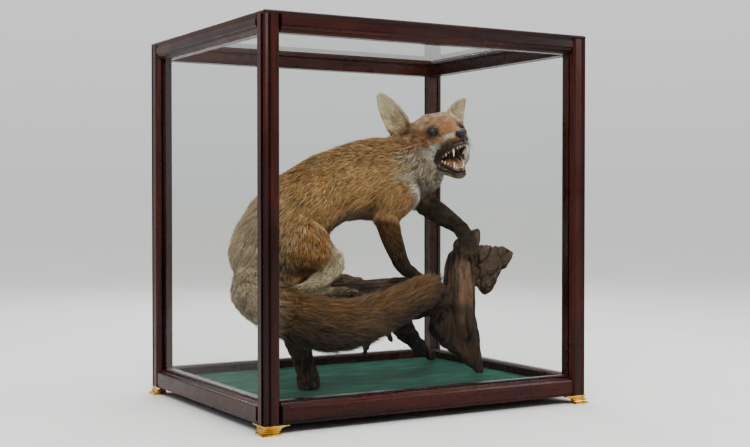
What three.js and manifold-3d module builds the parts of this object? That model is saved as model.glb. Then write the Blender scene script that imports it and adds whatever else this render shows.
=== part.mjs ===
// A red fox mounted on driftwood inside a glazed mahogany display case on brass bracket feet.
// Millimetres, +Z up. Every place is given from the near left bottom corner of the case:
// X runs right along the front pane, Y runs back, Z runs up from the underside of the frame.
import * as THREE from 'three';
import { mergeVertices } from 'three/addons/utils/BufferGeometryUtils.js';
import Module from 'manifold-3d';

const wasm = await Module();
wasm.setup();

// ---- driving dimensions of the case ----
const CASE_WIDTH = 696;
const CASE_DEPTH = 548;
const CASE_HEIGHT = 700;
const FOOT_HEIGHT = 22;
const PLINTH = 5.5;
const MEMBER = 33;
const POST_FLAT_END = 27;
const RAIL_HEIGHT = 36.5;
const RAIL_FLAT_END = 24.5;
const BEAD_RADIUS = 5.5;
const QUIRK = 1.6;
const GLASS_DEPTH = 11;
const GLASS_THICKNESS = 3;
const GLASS_LAP = 6;
const TOP_EDGE = 7;
const SILL_FACE = 23;
const SILL_AT_GLASS = 31;
const SILL_INSIDE = 34;
const BOARD_TOP = 12;
const BAIZE_TOP = 15;
const GAP = 0.3;
// Corners of the case: [place, quarter turns, x, y].
const CORNERS = [
  ['front_left', 0, 0, 0],
  ['front_right', 1, CASE_WIDTH, 0],
  ['back_right', 2, CASE_WIDTH, CASE_DEPTH],
  ['back_left', 3, 0, CASE_DEPTH],
];

// ---- driving dimensions of the fox ----
const NOSE_TIP = [484, 115, 504];
const HEAD_YAW = THREE.MathUtils.degToRad(-100.1);
const HEAD_PITCH = THREE.MathUtils.degToRad(3.2);
const HEAD_ROLL = THREE.MathUtils.degToRad(9.6);
const SKULL_LENGTH = 178;
const EYE_RADIUS = 10.2;
const EAR_LENGTH = 98;
const EAR_HALF_WIDTH = 22;

const UP = [0, 0, 1];
const AHEAD = [1, 0, 0];

// ---- finishes ----
const finish = {
  mahogany: { color: 0x4a1d15, roughness: 0.32, metalness: 0 },
  glass: { color: 0xdfe9e6, roughness: 0.05, metalness: 0 },
  brass: { color: 0xc69a3c, roughness: 0.3, metalness: 1 },
  baize: { color: 0x2c6b54, roughness: 0.95, metalness: 0 },
  driftwood: { color: 0x4a3a2e, roughness: 0.85, metalness: 0 },
  redCoat: { color: 0x9a6b35, roughness: 0.9, metalness: 0 },
  paleCoat: { color: 0xb9a98c, roughness: 0.9, metalness: 0 },
  darkCoat: { color: 0x33261c, roughness: 0.9, metalness: 0 },
  nosePad: { color: 0x14161a, roughness: 0.5, metalness: 0 },
  eyeGlass: { color: 0x120c08, roughness: 0.05, metalness: 0 },
  enamel: { color: 0xe8dfc8, roughness: 0.35, metalness: 0 },
  tongueFlesh: { color: 0xb0714a, roughness: 0.5, metalness: 0 },
};

// ---- solids ----

/** A closed geometry as a solid that can be joined and cut. */
function solidOf(geometry) {
  const plain = geometry.clone();
  plain.deleteAttribute('normal');
  plain.deleteAttribute('uv');
  const merged = mergeVertices(plain, 1e-4);
  const vertProperties = new Float32Array(merged.attributes.position.array);
  const triVerts = new Uint32Array(merged.index.array);
  return new wasm.Manifold(new wasm.Mesh({ numProp: 3, vertProperties, triVerts }));
}

/** The largest single piece of a solid, without the slivers that a cut may leave. */
function largest(solid) {
  const pieces = solid.decompose();
  pieces.sort((a, b) => b.volume() - a.volume());
  return pieces[0];
}

/** A solid as a geometry of its own flat triangles. */
function geometryOf(solid) {
  const mesh = solid.getMesh();
  const positions = new Float32Array(mesh.numVert * 3);
  for (let i = 0; i < mesh.numVert; i += 1) {
    for (let axis = 0; axis < 3; axis += 1) {
      positions[3 * i + axis] = mesh.vertProperties[mesh.numProp * i + axis];
    }
  }
  const geometry = new THREE.BufferGeometry();
  geometry.setAttribute('position', new THREE.BufferAttribute(positions, 3));
  geometry.setIndex(new THREE.BufferAttribute(new Uint32Array(mesh.triVerts), 1));
  geometry.computeVertexNormals();
  return geometry;
}

/** A box between two corners. */
function block(low, high) {
  const size = high.map((value, axis) => value - low[axis]);
  const middle = high.map((value, axis) => (value + low[axis]) / 2);
  return solidOf(new THREE.BoxGeometry(...size).translate(...middle));
}

/** A flat outline in two named axes, pushed along the third from one place to another. */
function bar(outline, axis, from, to) {
  const shape = new THREE.Shape(outline.map(([a, b]) => new THREE.Vector2(a, b)));
  const geometry = new THREE.ExtrudeGeometry(shape, { depth: to - from, bevelEnabled: false });
  geometry.translate(0, 0, from);
  if (axis === 'x') {
    geometry.applyMatrix4(new THREE.Matrix4().makeBasis(
      new THREE.Vector3(0, 1, 0),
      new THREE.Vector3(0, 0, 1),
      new THREE.Vector3(1, 0, 0),
    ));
  }
  if (axis === 'y') {
    geometry.applyMatrix4(new THREE.Matrix4().makeBasis(
      new THREE.Vector3(0, 0, 1),
      new THREE.Vector3(1, 0, 0),
      new THREE.Vector3(0, 1, 0),
    ));
  }
  return solidOf(geometry);
}

/** Smooth value between hand-set [place, value] pairs, in order of place. */
function along(pairs, place) {
  const last = pairs.length - 1;
  if (place <= pairs[0][0]) return pairs[0][1];
  if (place >= pairs[last][0]) return pairs[last][1];
  const i = pairs.findIndex((pair) => pair[0] > place) - 1;
  const slope = (k) => {
    const low = Math.max(k - 1, 0);
    const high = Math.min(k + 1, last);
    return (pairs[high][1] - pairs[low][1]) / (pairs[high][0] - pairs[low][0]);
  };
  const span = pairs[i + 1][0] - pairs[i][0];
  const t = (place - pairs[i][0]) / span;
  const keep = 2 * t ** 3 - 3 * t ** 2 + 1;
  const leave = (t ** 3 - 2 * t ** 2 + t) * span;
  const arrive = (t ** 3 - t ** 2) * span;
  return keep * pairs[i][1] + leave * slope(i) + (1 - keep) * pairs[i + 1][1] + arrive * slope(i + 1);
}

/** How full a round end is, from 0 at the tip to 1 where the straight part begins. */
function endFullness(t, share) {
  const inward = Math.min(t, 1 - t) / share;
  return inward >= 1 ? 1 : Math.sqrt(1 - (1 - inward) ** 2);
}

/** A round-ended form swept through stations [x, y, z, side radius, deep radius]. */
function limb(stations, options = {}) {
  const { around = 12, rows = 9, up = UP, grow = 0, share = 0.14, ripple = () => 1 } = options;
  const path = new THREE.CatmullRomCurve3(stations.map(([x, y, z]) => new THREE.Vector3(x, y, z)));
  path.curveType = 'catmullrom';
  const sizes = new THREE.CatmullRomCurve3(stations.map((s) => new THREE.Vector3(s[3], s[4], 0)));
  sizes.curveType = 'catmullrom';
  const geometry = new THREE.SphereGeometry(1, around, rows);
  const position = geometry.attributes.position;
  const vertex = new THREE.Vector3();
  const upward = new THREE.Vector3(...up);
  for (let i = 0; i < position.count; i += 1) {
    vertex.fromBufferAttribute(position, i);
    const polar = Math.acos(THREE.MathUtils.clamp(vertex.y, -1, 1));
    const round = Math.sin(polar);
    const cosine = round > 1e-6 ? vertex.x / round : 1;
    const sine = round > 1e-6 ? vertex.z / round : 0;
    const t = 0.35 * (polar / Math.PI) + 0.65 * (1 - Math.cos(polar)) / 2;
    const centre = path.getPoint(t);
    const tangent = path.getTangent(t);
    const side = new THREE.Vector3().crossVectors(tangent, upward).normalize();
    const deep = new THREE.Vector3().crossVectors(side, tangent);
    const size = sizes.getPoint(t);
    const fullness = round < 1e-6 ? 0 : endFullness(t, share);
    const full = fullness * ripple(t, Math.atan2(sine, cosine));
    const beyond = Math.sign(t - 0.5) * Math.sqrt(1 - fullness ** 2) * grow;
    centre.addScaledVector(side, cosine * full * (size.x + grow));
    centre.addScaledVector(deep, -sine * full * (size.y + grow));
    centre.addScaledVector(tangent, beyond);
    position.setXYZ(i, centre.x, centre.y, centre.z);
  }
  return solidOf(geometry);
}

// ---- the group and its pieces ----

const group = new THREE.Group();
const caseFrame = new THREE.Group();
caseFrame.position.set(-CASE_WIDTH / 2, -CASE_DEPTH / 2, FOOT_HEIGHT);
group.add(caseFrame);

/** Adds one named piece in one finish. */
function addPiece(name, solid, look) {
  const mesh = new THREE.Mesh(geometryOf(solid), new THREE.MeshStandardMaterial(finish[look]));
  mesh.name = name;
  caseFrame.add(mesh);
}

// The form of each fitted piece grown by the gap, which its neighbours are cut with.
const clearances = new Map();

/** Cuts a form clear of the named neighbours, keeps its own clearance form and adds it. */
function fit(name, make, look, neighbours = [], finishWith = (solid) => solid) {
  let solid = finishWith(make(0));
  for (const neighbour of neighbours) {
    solid = solid.subtract(clearances.get(neighbour));
  }
  clearances.set(name, make(GAP).add(make(GAP / 4)));
  addPiece(name, largest(solid), look);
}

// ---- the case ----

/** Arc points round a centre, in degrees. */
function arc(centre, radius, from, to, steps) {
  const points = [];
  for (let i = 0; i <= steps; i += 1) {
    const angle = THREE.MathUtils.degToRad(from + ((to - from) * i) / steps);
    points.push([centre[0] + radius * Math.cos(angle), centre[1] + radius * Math.sin(angle)]);
  }
  return points;
}

/** Half of a member's section on one face: the quirk, the flat and the inner ogee. */
function faceHalf(flatEnd, width) {
  const quirkStart = 2 * BEAD_RADIUS;
  const ogee = width - flatEnd;
  return [
    [quirkStart - 0.3, 2.6],
    [quirkStart + QUIRK, 2.6],
    [quirkStart + QUIRK, 0],
    [flatEnd, 0],
    [flatEnd + 0.15 * ogee, 2.2],
    [flatEnd + 0.5 * ogee, 3.6],
    [flatEnd + 0.75 * ogee, 7],
    [width, GLASS_DEPTH - 1.4],
  ];
}

/** Section of a post or top rail, with its outer corner at the origin. */
function memberSection(firstFace, secondFace) {
  const bead = arc([BEAD_RADIUS, BEAD_RADIUS], BEAD_RADIUS, 200, 250, 3);
  const first = faceHalf(...firstFace);
  const second = faceHalf(...secondFace).map(([a, b]) => [b, a]).reverse();
  return [...bead, ...first, [firstFace[1], secondFace[1]], ...second];
}

/** Section of a bottom rail: distance in from the outer face, height. */
function sillSection() {
  return [
    [0, 0],
    [2, -1],
    [2, -PLINTH],
    [MEMBER, -PLINTH],
    [MEMBER, SILL_INSIDE - 4],
    [MEMBER - 4, SILL_INSIDE],
    [GLASS_DEPTH + GLASS_THICKNESS, SILL_INSIDE],
    [GLASS_DEPTH, SILL_AT_GLASS],
    [7, SILL_AT_GLASS - 2.2],
    [4, SILL_FACE + 3],
    [1, SILL_FACE + 2],
    [0, SILL_FACE],
  ];
}

/** A pane of glass between two corners, and the slot it needs. */
function panes() {
  const lap = MEMBER - GLASS_LAP;
  const sillLap = SILL_AT_GLASS - GLASS_LAP;
  const inner = GLASS_DEPTH + GLASS_THICKNESS;
  const right = CASE_WIDTH - lap;
  const back = CASE_DEPTH - lap;
  const top = CASE_HEIGHT - lap;
  return {
    pane_front: [[lap, GLASS_DEPTH, sillLap], [right, inner, top]],
    pane_back: [[lap, CASE_DEPTH - inner, sillLap], [right, CASE_DEPTH - GLASS_DEPTH, top]],
    pane_left: [[GLASS_DEPTH, lap, sillLap], [inner, back, top]],
    pane_right: [[CASE_WIDTH - inner, lap, sillLap], [CASE_WIDTH - GLASS_DEPTH, back, top]],
    pane_top: [[lap, lap, CASE_HEIGHT - inner], [right, back, CASE_HEIGHT - GLASS_DEPTH]],
  };
}

/** Turns a solid a quarter about the case's upright middle line, a number of times. */
function quarter(solid, turns) {
  if (turns === 0) return solid;
  return solid.rotate([0, 0, 90 * turns]);
}

function buildCase() {
  const glass = panes();
  const slots = Object.values(glass).map(([low, high]) => block(
    low.map((value) => value - GAP),
    high.map((value) => value + GAP),
  ));
  const cutSlots = (solid) => slots.reduce((rest, slot) => rest.subtract(slot), solid);

  // A post at each corner, its section turned to face out both ways.
  const postFace = [POST_FLAT_END, MEMBER];
  const section = memberSection(postFace, postFace);
  const postTop = CASE_HEIGHT - TOP_EDGE - GAP;
  const postClearances = [];
  for (const [place, turns, x, y] of CORNERS) {
    const post = quarter(bar(section, 'z', -PLINTH, postTop), turns).translate([x, y, 0]);
    addPiece(`post_${place}`, largest(cutSlots(post)), 'mahogany');
    const inset = MEMBER + GAP;
    const towardX = x === 0 ? inset : -inset;
    const towardY = y === 0 ? inset : -inset;
    const low = [Math.min(x, x + towardX) - 1, Math.min(y, y + towardY) - 1, -PLINTH - 1];
    const high = [Math.max(x, x + towardX) + 1, Math.max(y, y + towardY) + 1, postTop + GAP];
    postClearances.push(block(low, high));
  }

  // Rails on the four sides. Each runs corner to corner, is mitred, and stops at the posts.
  const sides = [
    ['front', 0, 0, 0, CASE_WIDTH],
    ['right', 1, CASE_WIDTH, 0, CASE_DEPTH],
    ['back', 2, CASE_WIDTH, CASE_DEPTH, CASE_WIDTH],
    ['left', 3, 0, CASE_DEPTH, CASE_DEPTH],
  ];
  const railSection = memberSection([RAIL_FLAT_END, RAIL_HEIGHT], postFace);
  const topSection = railSection.map(([a, b]) => [b, CASE_HEIGHT - a]).reverse();
  for (const [place, turns, x, y, length] of sides) {
    const wedge = [[GAP, -1], [length - GAP, -1], [length / 2, length / 2]];
    const mitre = bar(wedge, 'z', -PLINTH - 1, CASE_HEIGHT + 1);
    const setRail = (solid) => {
      const placed = quarter(solid.intersect(mitre), turns).translate([x, y, 0]);
      const cleared = postClearances.reduce((rest, post) => rest.subtract(post), placed);
      return largest(cutSlots(cleared));
    };
    addPiece(`top_rail_${place}`, setRail(bar(topSection, 'x', 0, length)), 'mahogany');
    addPiece(`bottom_rail_${place}`, setRail(bar(sillSection(), 'x', 0, length)), 'mahogany');
  }

  // Panes, notched at the corners where the posts stand.
  for (const [name, [low, high]] of Object.entries(glass)) {
    let pane = block(low, high);
    if (name === 'pane_top') {
      pane = postClearances.reduce((rest, post) => rest.subtract(post), pane);
    }
    addPiece(name, pane, 'glass');
  }

  // The bottom board lies between the bottom rails, with the baize on it.
  const edge = MEMBER + GAP;
  const far = [CASE_WIDTH - edge, CASE_DEPTH - edge];
  addPiece('base_board', block([edge, edge, 2], [...far, BOARD_TOP]), 'mahogany');
  addPiece('baize_floor', block([edge, edge, BOARD_TOP + GAP], [...far, BAIZE_TOP]), 'baize');
}

/** Bracket foot: moulded in height, its two wings swept away in a hollow curve. */
function bracketFoot() {
  const wing = 48;
  const toe = 27;
  const thickness = 9;
  const top = -PLINTH - GAP;
  const under = -FOOT_HEIGHT;
  const inward = 60;
  const moulding = [
    [0, top],
    [0, top - 2],
    [2, top - 3.2],
    [2.2, top - 5],
    [0.4, top - 6.4],
    [-1, top - 7.6],
    [-0.6, top - 9],
    [0.6, top - 10],
    [-0.6, top - 11.6],
    [-5, under + 3],
    [-5, under],
  ];
  const region = [...moulding, [inward, under], [inward, top]];
  const flareX = bar(region, 'x', -inward, inward);
  const flareY = bar(region.map(([a, b]) => [b, a]).reverse(), 'y', -inward, inward);
  const hollow = [];
  const hollowSteps = 4;
  for (let i = 0; i <= hollowSteps; i += 1) {
    const angle = (Math.PI / 2) * (i / hollowSteps);
    const out = toe + (wing - toe) * (1 - Math.cos(angle));
    hollow.push([out, under + 3 + (top - under - 5) * Math.sin(angle)]);
  }
  const toeTip = [toe + 1.5, under];
  const outline = [[-6, under], toeTip, [toeTip[0], under + 3], ...hollow, [wing, top], [-6, top]];
  const wingX = bar(outline.map(([a, b]) => [b, a]).reverse(), 'y', -6, thickness);
  const wingY = bar(outline, 'x', -6, thickness);
  return wingX.add(wingY).intersect(flareX).intersect(flareY);
}

function buildFeet() {
  for (const [place, turns, x, y] of CORNERS) {
    addPiece(`foot_${place}`, largest(quarter(bracketFoot(), turns).translate([x, y, 0])), 'brass');
  }
}

// ---- the fox ----

/** Places head coordinates (ahead, left, up from the nose tip) in the case. */
function headMatrix() {
  const ahead = new THREE.Vector3(
    Math.cos(HEAD_PITCH) * Math.cos(HEAD_YAW),
    Math.cos(HEAD_PITCH) * Math.sin(HEAD_YAW),
    Math.sin(HEAD_PITCH),
  );
  const level = new THREE.Vector3(0, 0, 1).cross(ahead).normalize();
  const left = level.clone().applyAxisAngle(ahead, HEAD_ROLL);
  const upward = new THREE.Vector3().crossVectors(ahead, left);
  return new THREE.Matrix4().makeBasis(ahead, left, upward).setPosition(...NOSE_TIP);
}
const HEAD = headMatrix();

/** A head-frame point in case coordinates. */
function onHead(ahead, left, upward) {
  return new THREE.Vector3(ahead, left, upward).applyMatrix4(HEAD).toArray();
}

/** A head-frame direction in case coordinates. */
function headWay(ahead, left, upward) {
  return new THREE.Vector3(ahead, left, upward).transformDirection(HEAD).toArray();
}

// Head profiles: [distance ahead of the nose tip, value].
const HEAD_TOP = [[-178, 32], [-160, 50], [-140, 61], [-117, 63], [-95, 54], [-78, 40], [-60, 25],
  [-40, 18], [-15, 15], [-4, 13]];
const HEAD_UNDER = [[-178, -40], [-160, -54], [-140, -66], [-118, -70], [-100, -63], [-88, -50],
  [-78, -33], [-62, -24], [-45, -21], [-23, -18], [-8, -13], [-4, -10]];
const HEAD_HALF_WIDTH = [[-178, 54], [-160, 66], [-140, 71], [-118, 67], [-100, 56], [-85, 45],
  [-72, 35], [-58, 27.5], [-45, 23], [-23, 18.5], [-10, 14], [-4, 11]];
const HEAD_WIDEST = [[-178, -12], [-140, -20], [-118, -20], [-100, -12], [-85, 0], [-70, -2],
  [-45, -6], [-4, -3]];

/** Skull, cheeks and upper muzzle in one form, from the nape to the nose. */
function headForm(grow) {
  const geometry = new THREE.SphereGeometry(1, 14, 10);
  const position = geometry.attributes.position;
  const vertex = new THREE.Vector3();
  const squareness = 0.78;
  const swell = (value) => Math.sign(value) * Math.abs(value) ** squareness;
  for (let i = 0; i < position.count; i += 1) {
    vertex.fromBufferAttribute(position, i);
    const polar = Math.acos(THREE.MathUtils.clamp(vertex.y, -1, 1));
    const round = Math.sin(polar);
    const t = 0.6 * (polar / Math.PI) + 0.4 * (1 - Math.cos(polar)) / 2;
    const ahead = -SKULL_LENGTH + t * (SKULL_LENGTH - 4);
    const full = round < 1e-6 ? 0 : endFullness(t, t < 0.5 ? 0.16 : 0.05);
    const cosine = round > 1e-6 ? vertex.x / round : 1;
    const sine = round > 1e-6 ? -vertex.z / round : 0;
    const widest = along(HEAD_WIDEST, ahead);
    const reach = sine > 0 ? along(HEAD_TOP, ahead) - widest : widest - along(HEAD_UNDER, ahead);
    const left = -swell(cosine) * full * (along(HEAD_HALF_WIDTH, ahead) + grow);
    const upward = widest + swell(sine) * full * (reach + grow);
    vertex.set(ahead - Math.cos(polar) * grow, left, upward).applyMatrix4(HEAD);
    position.setXYZ(i, vertex.x, vertex.y, vertex.z);
  }
  return solidOf(geometry);
}

/** A ball stretched along the head's own axes. */
function headBall(centre, radii, around, rows, grow) {
  const geometry = new THREE.SphereGeometry(1, around, rows);
  geometry.scale(radii[0] + grow, radii[1] + grow, radii[2] + grow);
  geometry.translate(...centre);
  geometry.applyMatrix4(HEAD);
  return solidOf(geometry);
}

/** Limb stations given in the head frame: [ahead, left, up, side radius, deep radius]. */
function headLimb(stations, options) {
  const placed = stations.map(([a, l, u, side, deep]) => [...onHead(a, l, u), side, deep]);
  return limb(placed, { up: headWay(0, 0, 1), ...options });
}

/** A cupped ear: a leaf from its root to its tip, hollowed on the side that it opens to. */
function ear(root, way, opening, grow) {
  const axis = new THREE.Vector3(...way).normalize();
  const open = new THREE.Vector3(...opening);
  open.addScaledVector(axis, -open.dot(axis)).normalize();
  const leaf = [[-0.06, 0.9, 11], [0.12, 1, 12], [0.38, 0.9, 9.5], [0.66, 0.6, 7], [0.88, 0.28, 4.5],
    [1, 0.1, 2.5]];
  const station = (scale, forward, thin) => leaf.map(([share, wide, deep]) => {
    const curl = 10 * share * share;
    const point = new THREE.Vector3(...root)
      .addScaledVector(axis, share * EAR_LENGTH * scale)
      .addScaledVector(open, forward + curl);
    const side = Math.max(wide * EAR_HALF_WIDTH - thin, 1.2) + grow;
    return [...point.toArray(), side, Math.max(deep - thin * 0.3, 1.5)];
  });
  const options = { up: open.toArray(), around: 8, rows: 6, grow, share: 0.1 };
  const outer = limb(station(1, 0, 0), options);
  if (grow > 0) return outer;
  const hollow = limb(station(0.94, 9.5, 5), { ...options, grow: 0 });
  return outer.subtract(hollow);
}

/** A pointed tooth or claw from its root to its tip, in case coordinates. */
function spike(root, tip, radius, around = 3) {
  const from = new THREE.Vector3(...root);
  const to = new THREE.Vector3(...tip);
  const axis = to.clone().sub(from);
  const geometry = new THREE.ConeGeometry(radius, axis.length(), around);
  geometry.translate(0, axis.length() / 2, 0);
  geometry.applyQuaternion(new THREE.Quaternion().setFromUnitVectors(
    new THREE.Vector3(0, 1, 0),
    axis.clone().normalize(),
  ));
  geometry.translate(from.x, from.y, from.z);
  return solidOf(geometry);
}

// Upper tooth row, right side: [ahead, half width, tooth length, tooth radius].
const UPPER_ROW = [[-10, 3, 6, 2], [-12, 7.5, 7, 2.2], [-27, 15, 17, 3.4], [-38, 16, 6, 2.6],
  [-47, 18, 8, 3.2], [-58, 20, 10, 4], [-68, 22, 7, 4]];
// Lower tooth row, in jaw shares: [share from hinge side to tip, half width, length, radius].
const LOWER_ROW = [[1, 3, 5, 1.8], [0.97, 7, 6, 2], [0.88, 11, 17, 3.2], [0.68, 14, 6, 2.6],
  [0.5, 17, 8, 3.2], [0.3, 20, 9, 4], [0.12, 22, 6, 4]];
const UPPER_GUM_FRONT = [-9, -16];
const UPPER_GUM_BACK = [-72, -29];
const LOWER_GUM_BACK = [-84, -42];
const LOWER_GUM_FRONT = [-45, -64.5];

/** Place on a straight gum line in the head frame, for a share from back to front. */
function onGum(back, front, share) {
  return [back[0] + (front[0] - back[0]) * share, back[1] + (front[1] - back[1]) * share];
}

/** A horseshoe of gum with its teeth. */
function toothRow(rows, back, front, way, backWidth) {
  const arch = [];
  const half = 4;
  for (let i = -half; i <= half; i += 1) {
    const fromFront = Math.abs(i) / half;
    const [ahead, up] = onGum(back, front, 1 - fromFront ** 1.6);
    const left = Math.sign(i) * backWidth * fromFront ** 0.62;
    arch.push([ahead, left, up, 5, 4.5]);
  }
  let solid = headLimb(arch, { around: 5, rows: 8, share: 0.04 });
  for (const side of [-1, 1]) {
    for (const [ahead, up, left, length, radius] of rows) {
      const root = onHead(ahead, side * left, up);
      const tip = onHead(ahead + way[0] * length, side * left, up + way[1] * length);
      solid = solid.add(spike(root, tip, radius));
    }
  }
  return solid;
}

function upperTeeth() {
  const rows = UPPER_ROW.map(([ahead, left, length, radius]) => {
    const share = (ahead - UPPER_GUM_BACK[0]) / (UPPER_GUM_FRONT[0] - UPPER_GUM_BACK[0]);
    return [ahead, onGum(UPPER_GUM_BACK, UPPER_GUM_FRONT, share)[1], left, length + 3, radius];
  });
  return toothRow(rows, UPPER_GUM_BACK, UPPER_GUM_FRONT, [0.06, -1], 23);
}

function lowerTeeth() {
  const rows = LOWER_ROW.map(([share, left, length, radius]) => {
    const [ahead, up] = onGum(LOWER_GUM_BACK, LOWER_GUM_FRONT, share);
    return [ahead, up, left, length + 3, radius];
  });
  return toothRow(rows, LOWER_GUM_BACK, LOWER_GUM_FRONT, [0.5, 0.87], 23);
}

const SPINE = [[86, 282, 218, 42, 38], [112, 281, 262, 68, 58], [150, 280, 314, 80, 72],
  [205, 280, 362, 83, 76], [270, 280, 401, 78, 75], [340, 280, 417, 74, 82], [400, 282, 421, 74, 89],
  [445, 283, 421, 66, 80], [482, 281, 421, 48, 55]];
const NECK = [[400, 285, 426, 68, 78], [440, 280, 438, 68, 75], [478, 266, 454, 65, 69],
  [508, 240, 474, 52, 56]];
const TAIL = [[98, 262, 218, 48, 48], [90, 228, 201, 50, 52], [97, 186, 185, 50, 54],
  [126, 150, 164, 49, 55], [190, 140, 145, 49, 57], [243, 139, 143, 47, 55], [291, 140, 155, 43, 49],
  [338, 145, 169, 39, 44], [388, 152, 188, 35, 38], [424, 160, 202, 27, 27], [450, 166, 210, 10, 10]];

// Legs from the body outwards, right side nearest the front pane.
const LEGS = {
  fore_right: {
    upper: [[420, 236, 408, 32, 44], [390, 221, 372, 28, 38], [364, 213, 340, 25, 28]],
    lower: [[363, 212, 342, 25, 26], [380, 212, 297, 21, 22], [398, 212, 254, 17, 18]],
    paw: [[397, 212, 258, 16, 17], [411, 211, 238, 17, 15], [438, 208, 229, 18, 11]],
    up: AHEAD,
  },
  fore_left: {
    upper: [[436, 328, 404, 30, 42], [478, 324, 389, 24, 33], [516, 314, 378, 20, 26]],
    lower: [[508, 316, 379, 20, 26], [544, 296, 350, 18, 24], [570, 270, 327, 17, 20]],
    paw: [[565, 274, 331, 16, 18], [581, 252, 308, 18, 18], [578, 232, 286, 19, 15], [568, 217, 268, 19, 11]],
    up: UP,
  },
  hind_right: {
    upper: [[120, 236, 316, 36, 58], [172, 217, 298, 43, 62], [212, 206, 278, 36, 44],
      [234, 204, 264, 24, 25]],
    lower: [[250, 202, 270, 20, 28], [234, 205, 240, 21, 24], [200, 208, 214, 18, 18],
      [170, 210, 203, 14, 14]],
    paw: [[172, 209, 205, 14, 14], [212, 209, 198, 14, 13], [256, 210, 199, 16, 12],
      [292, 211, 200, 18, 11]],
    up: UP,
  },
  hind_left: {
    upper: [[122, 326, 318, 36, 58], [185, 342, 306, 42, 58], [245, 348, 302, 34, 42],
      [282, 348, 299, 24, 26]],
    lower: [[278, 345, 297, 21, 23], [251, 338, 262, 19, 19], [218, 331, 228, 15, 16]],
    paw: [[214, 331, 228, 14, 15], [257, 330, 219, 14, 13], [317, 328, 216, 16, 12],
      [366, 327, 216, 18, 11]],
    up: UP,
  },
};

/** A paw with four toes and their claws. */
function pawForm(stations, grow) {
  const [ax, ay, az] = stations[stations.length - 2];
  const [bx, by, bz, side, deep] = stations[stations.length - 1];
  const ahead = new THREE.Vector3(bx - ax, by - ay, bz - az).normalize();
  const across = new THREE.Vector3().crossVectors(ahead, new THREE.Vector3(...UP)).normalize();
  const top = new THREE.Vector3().crossVectors(across, ahead);
  let solid = limb(stations, { grow, around: 8, rows: 4 });
  for (const [spread, reach] of [[-0.78, -3], [-0.28, 4], [0.28, 4], [0.78, -3]]) {
    const middle = new THREE.Vector3(bx, by, bz)
      .addScaledVector(across, spread * side)
      .addScaledVector(ahead, reach - 4);
    middle.z -= deep * 0.2;
    const toe = new THREE.SphereGeometry(1, 5, 3);
    toe.scale(10 + grow, side * 0.42 + grow, deep * 0.8 + grow);
    toe.applyMatrix4(new THREE.Matrix4().makeBasis(ahead, across.clone().negate(), top).setPosition(middle));
    const root = middle.clone().addScaledVector(ahead, 5);
    const tip = middle.clone().addScaledVector(ahead, 14);
    tip.z -= deep * 0.4;
    const claw = tip.clone().sub(root).normalize();
    tip.addScaledVector(claw, 3 * grow);
    root.addScaledVector(claw, -grow);
    solid = solid.add(solidOf(toe)).add(spike(root.toArray(), tip.toArray(), 2.6 + 2 * grow));
  }
  return solid;
}

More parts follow.
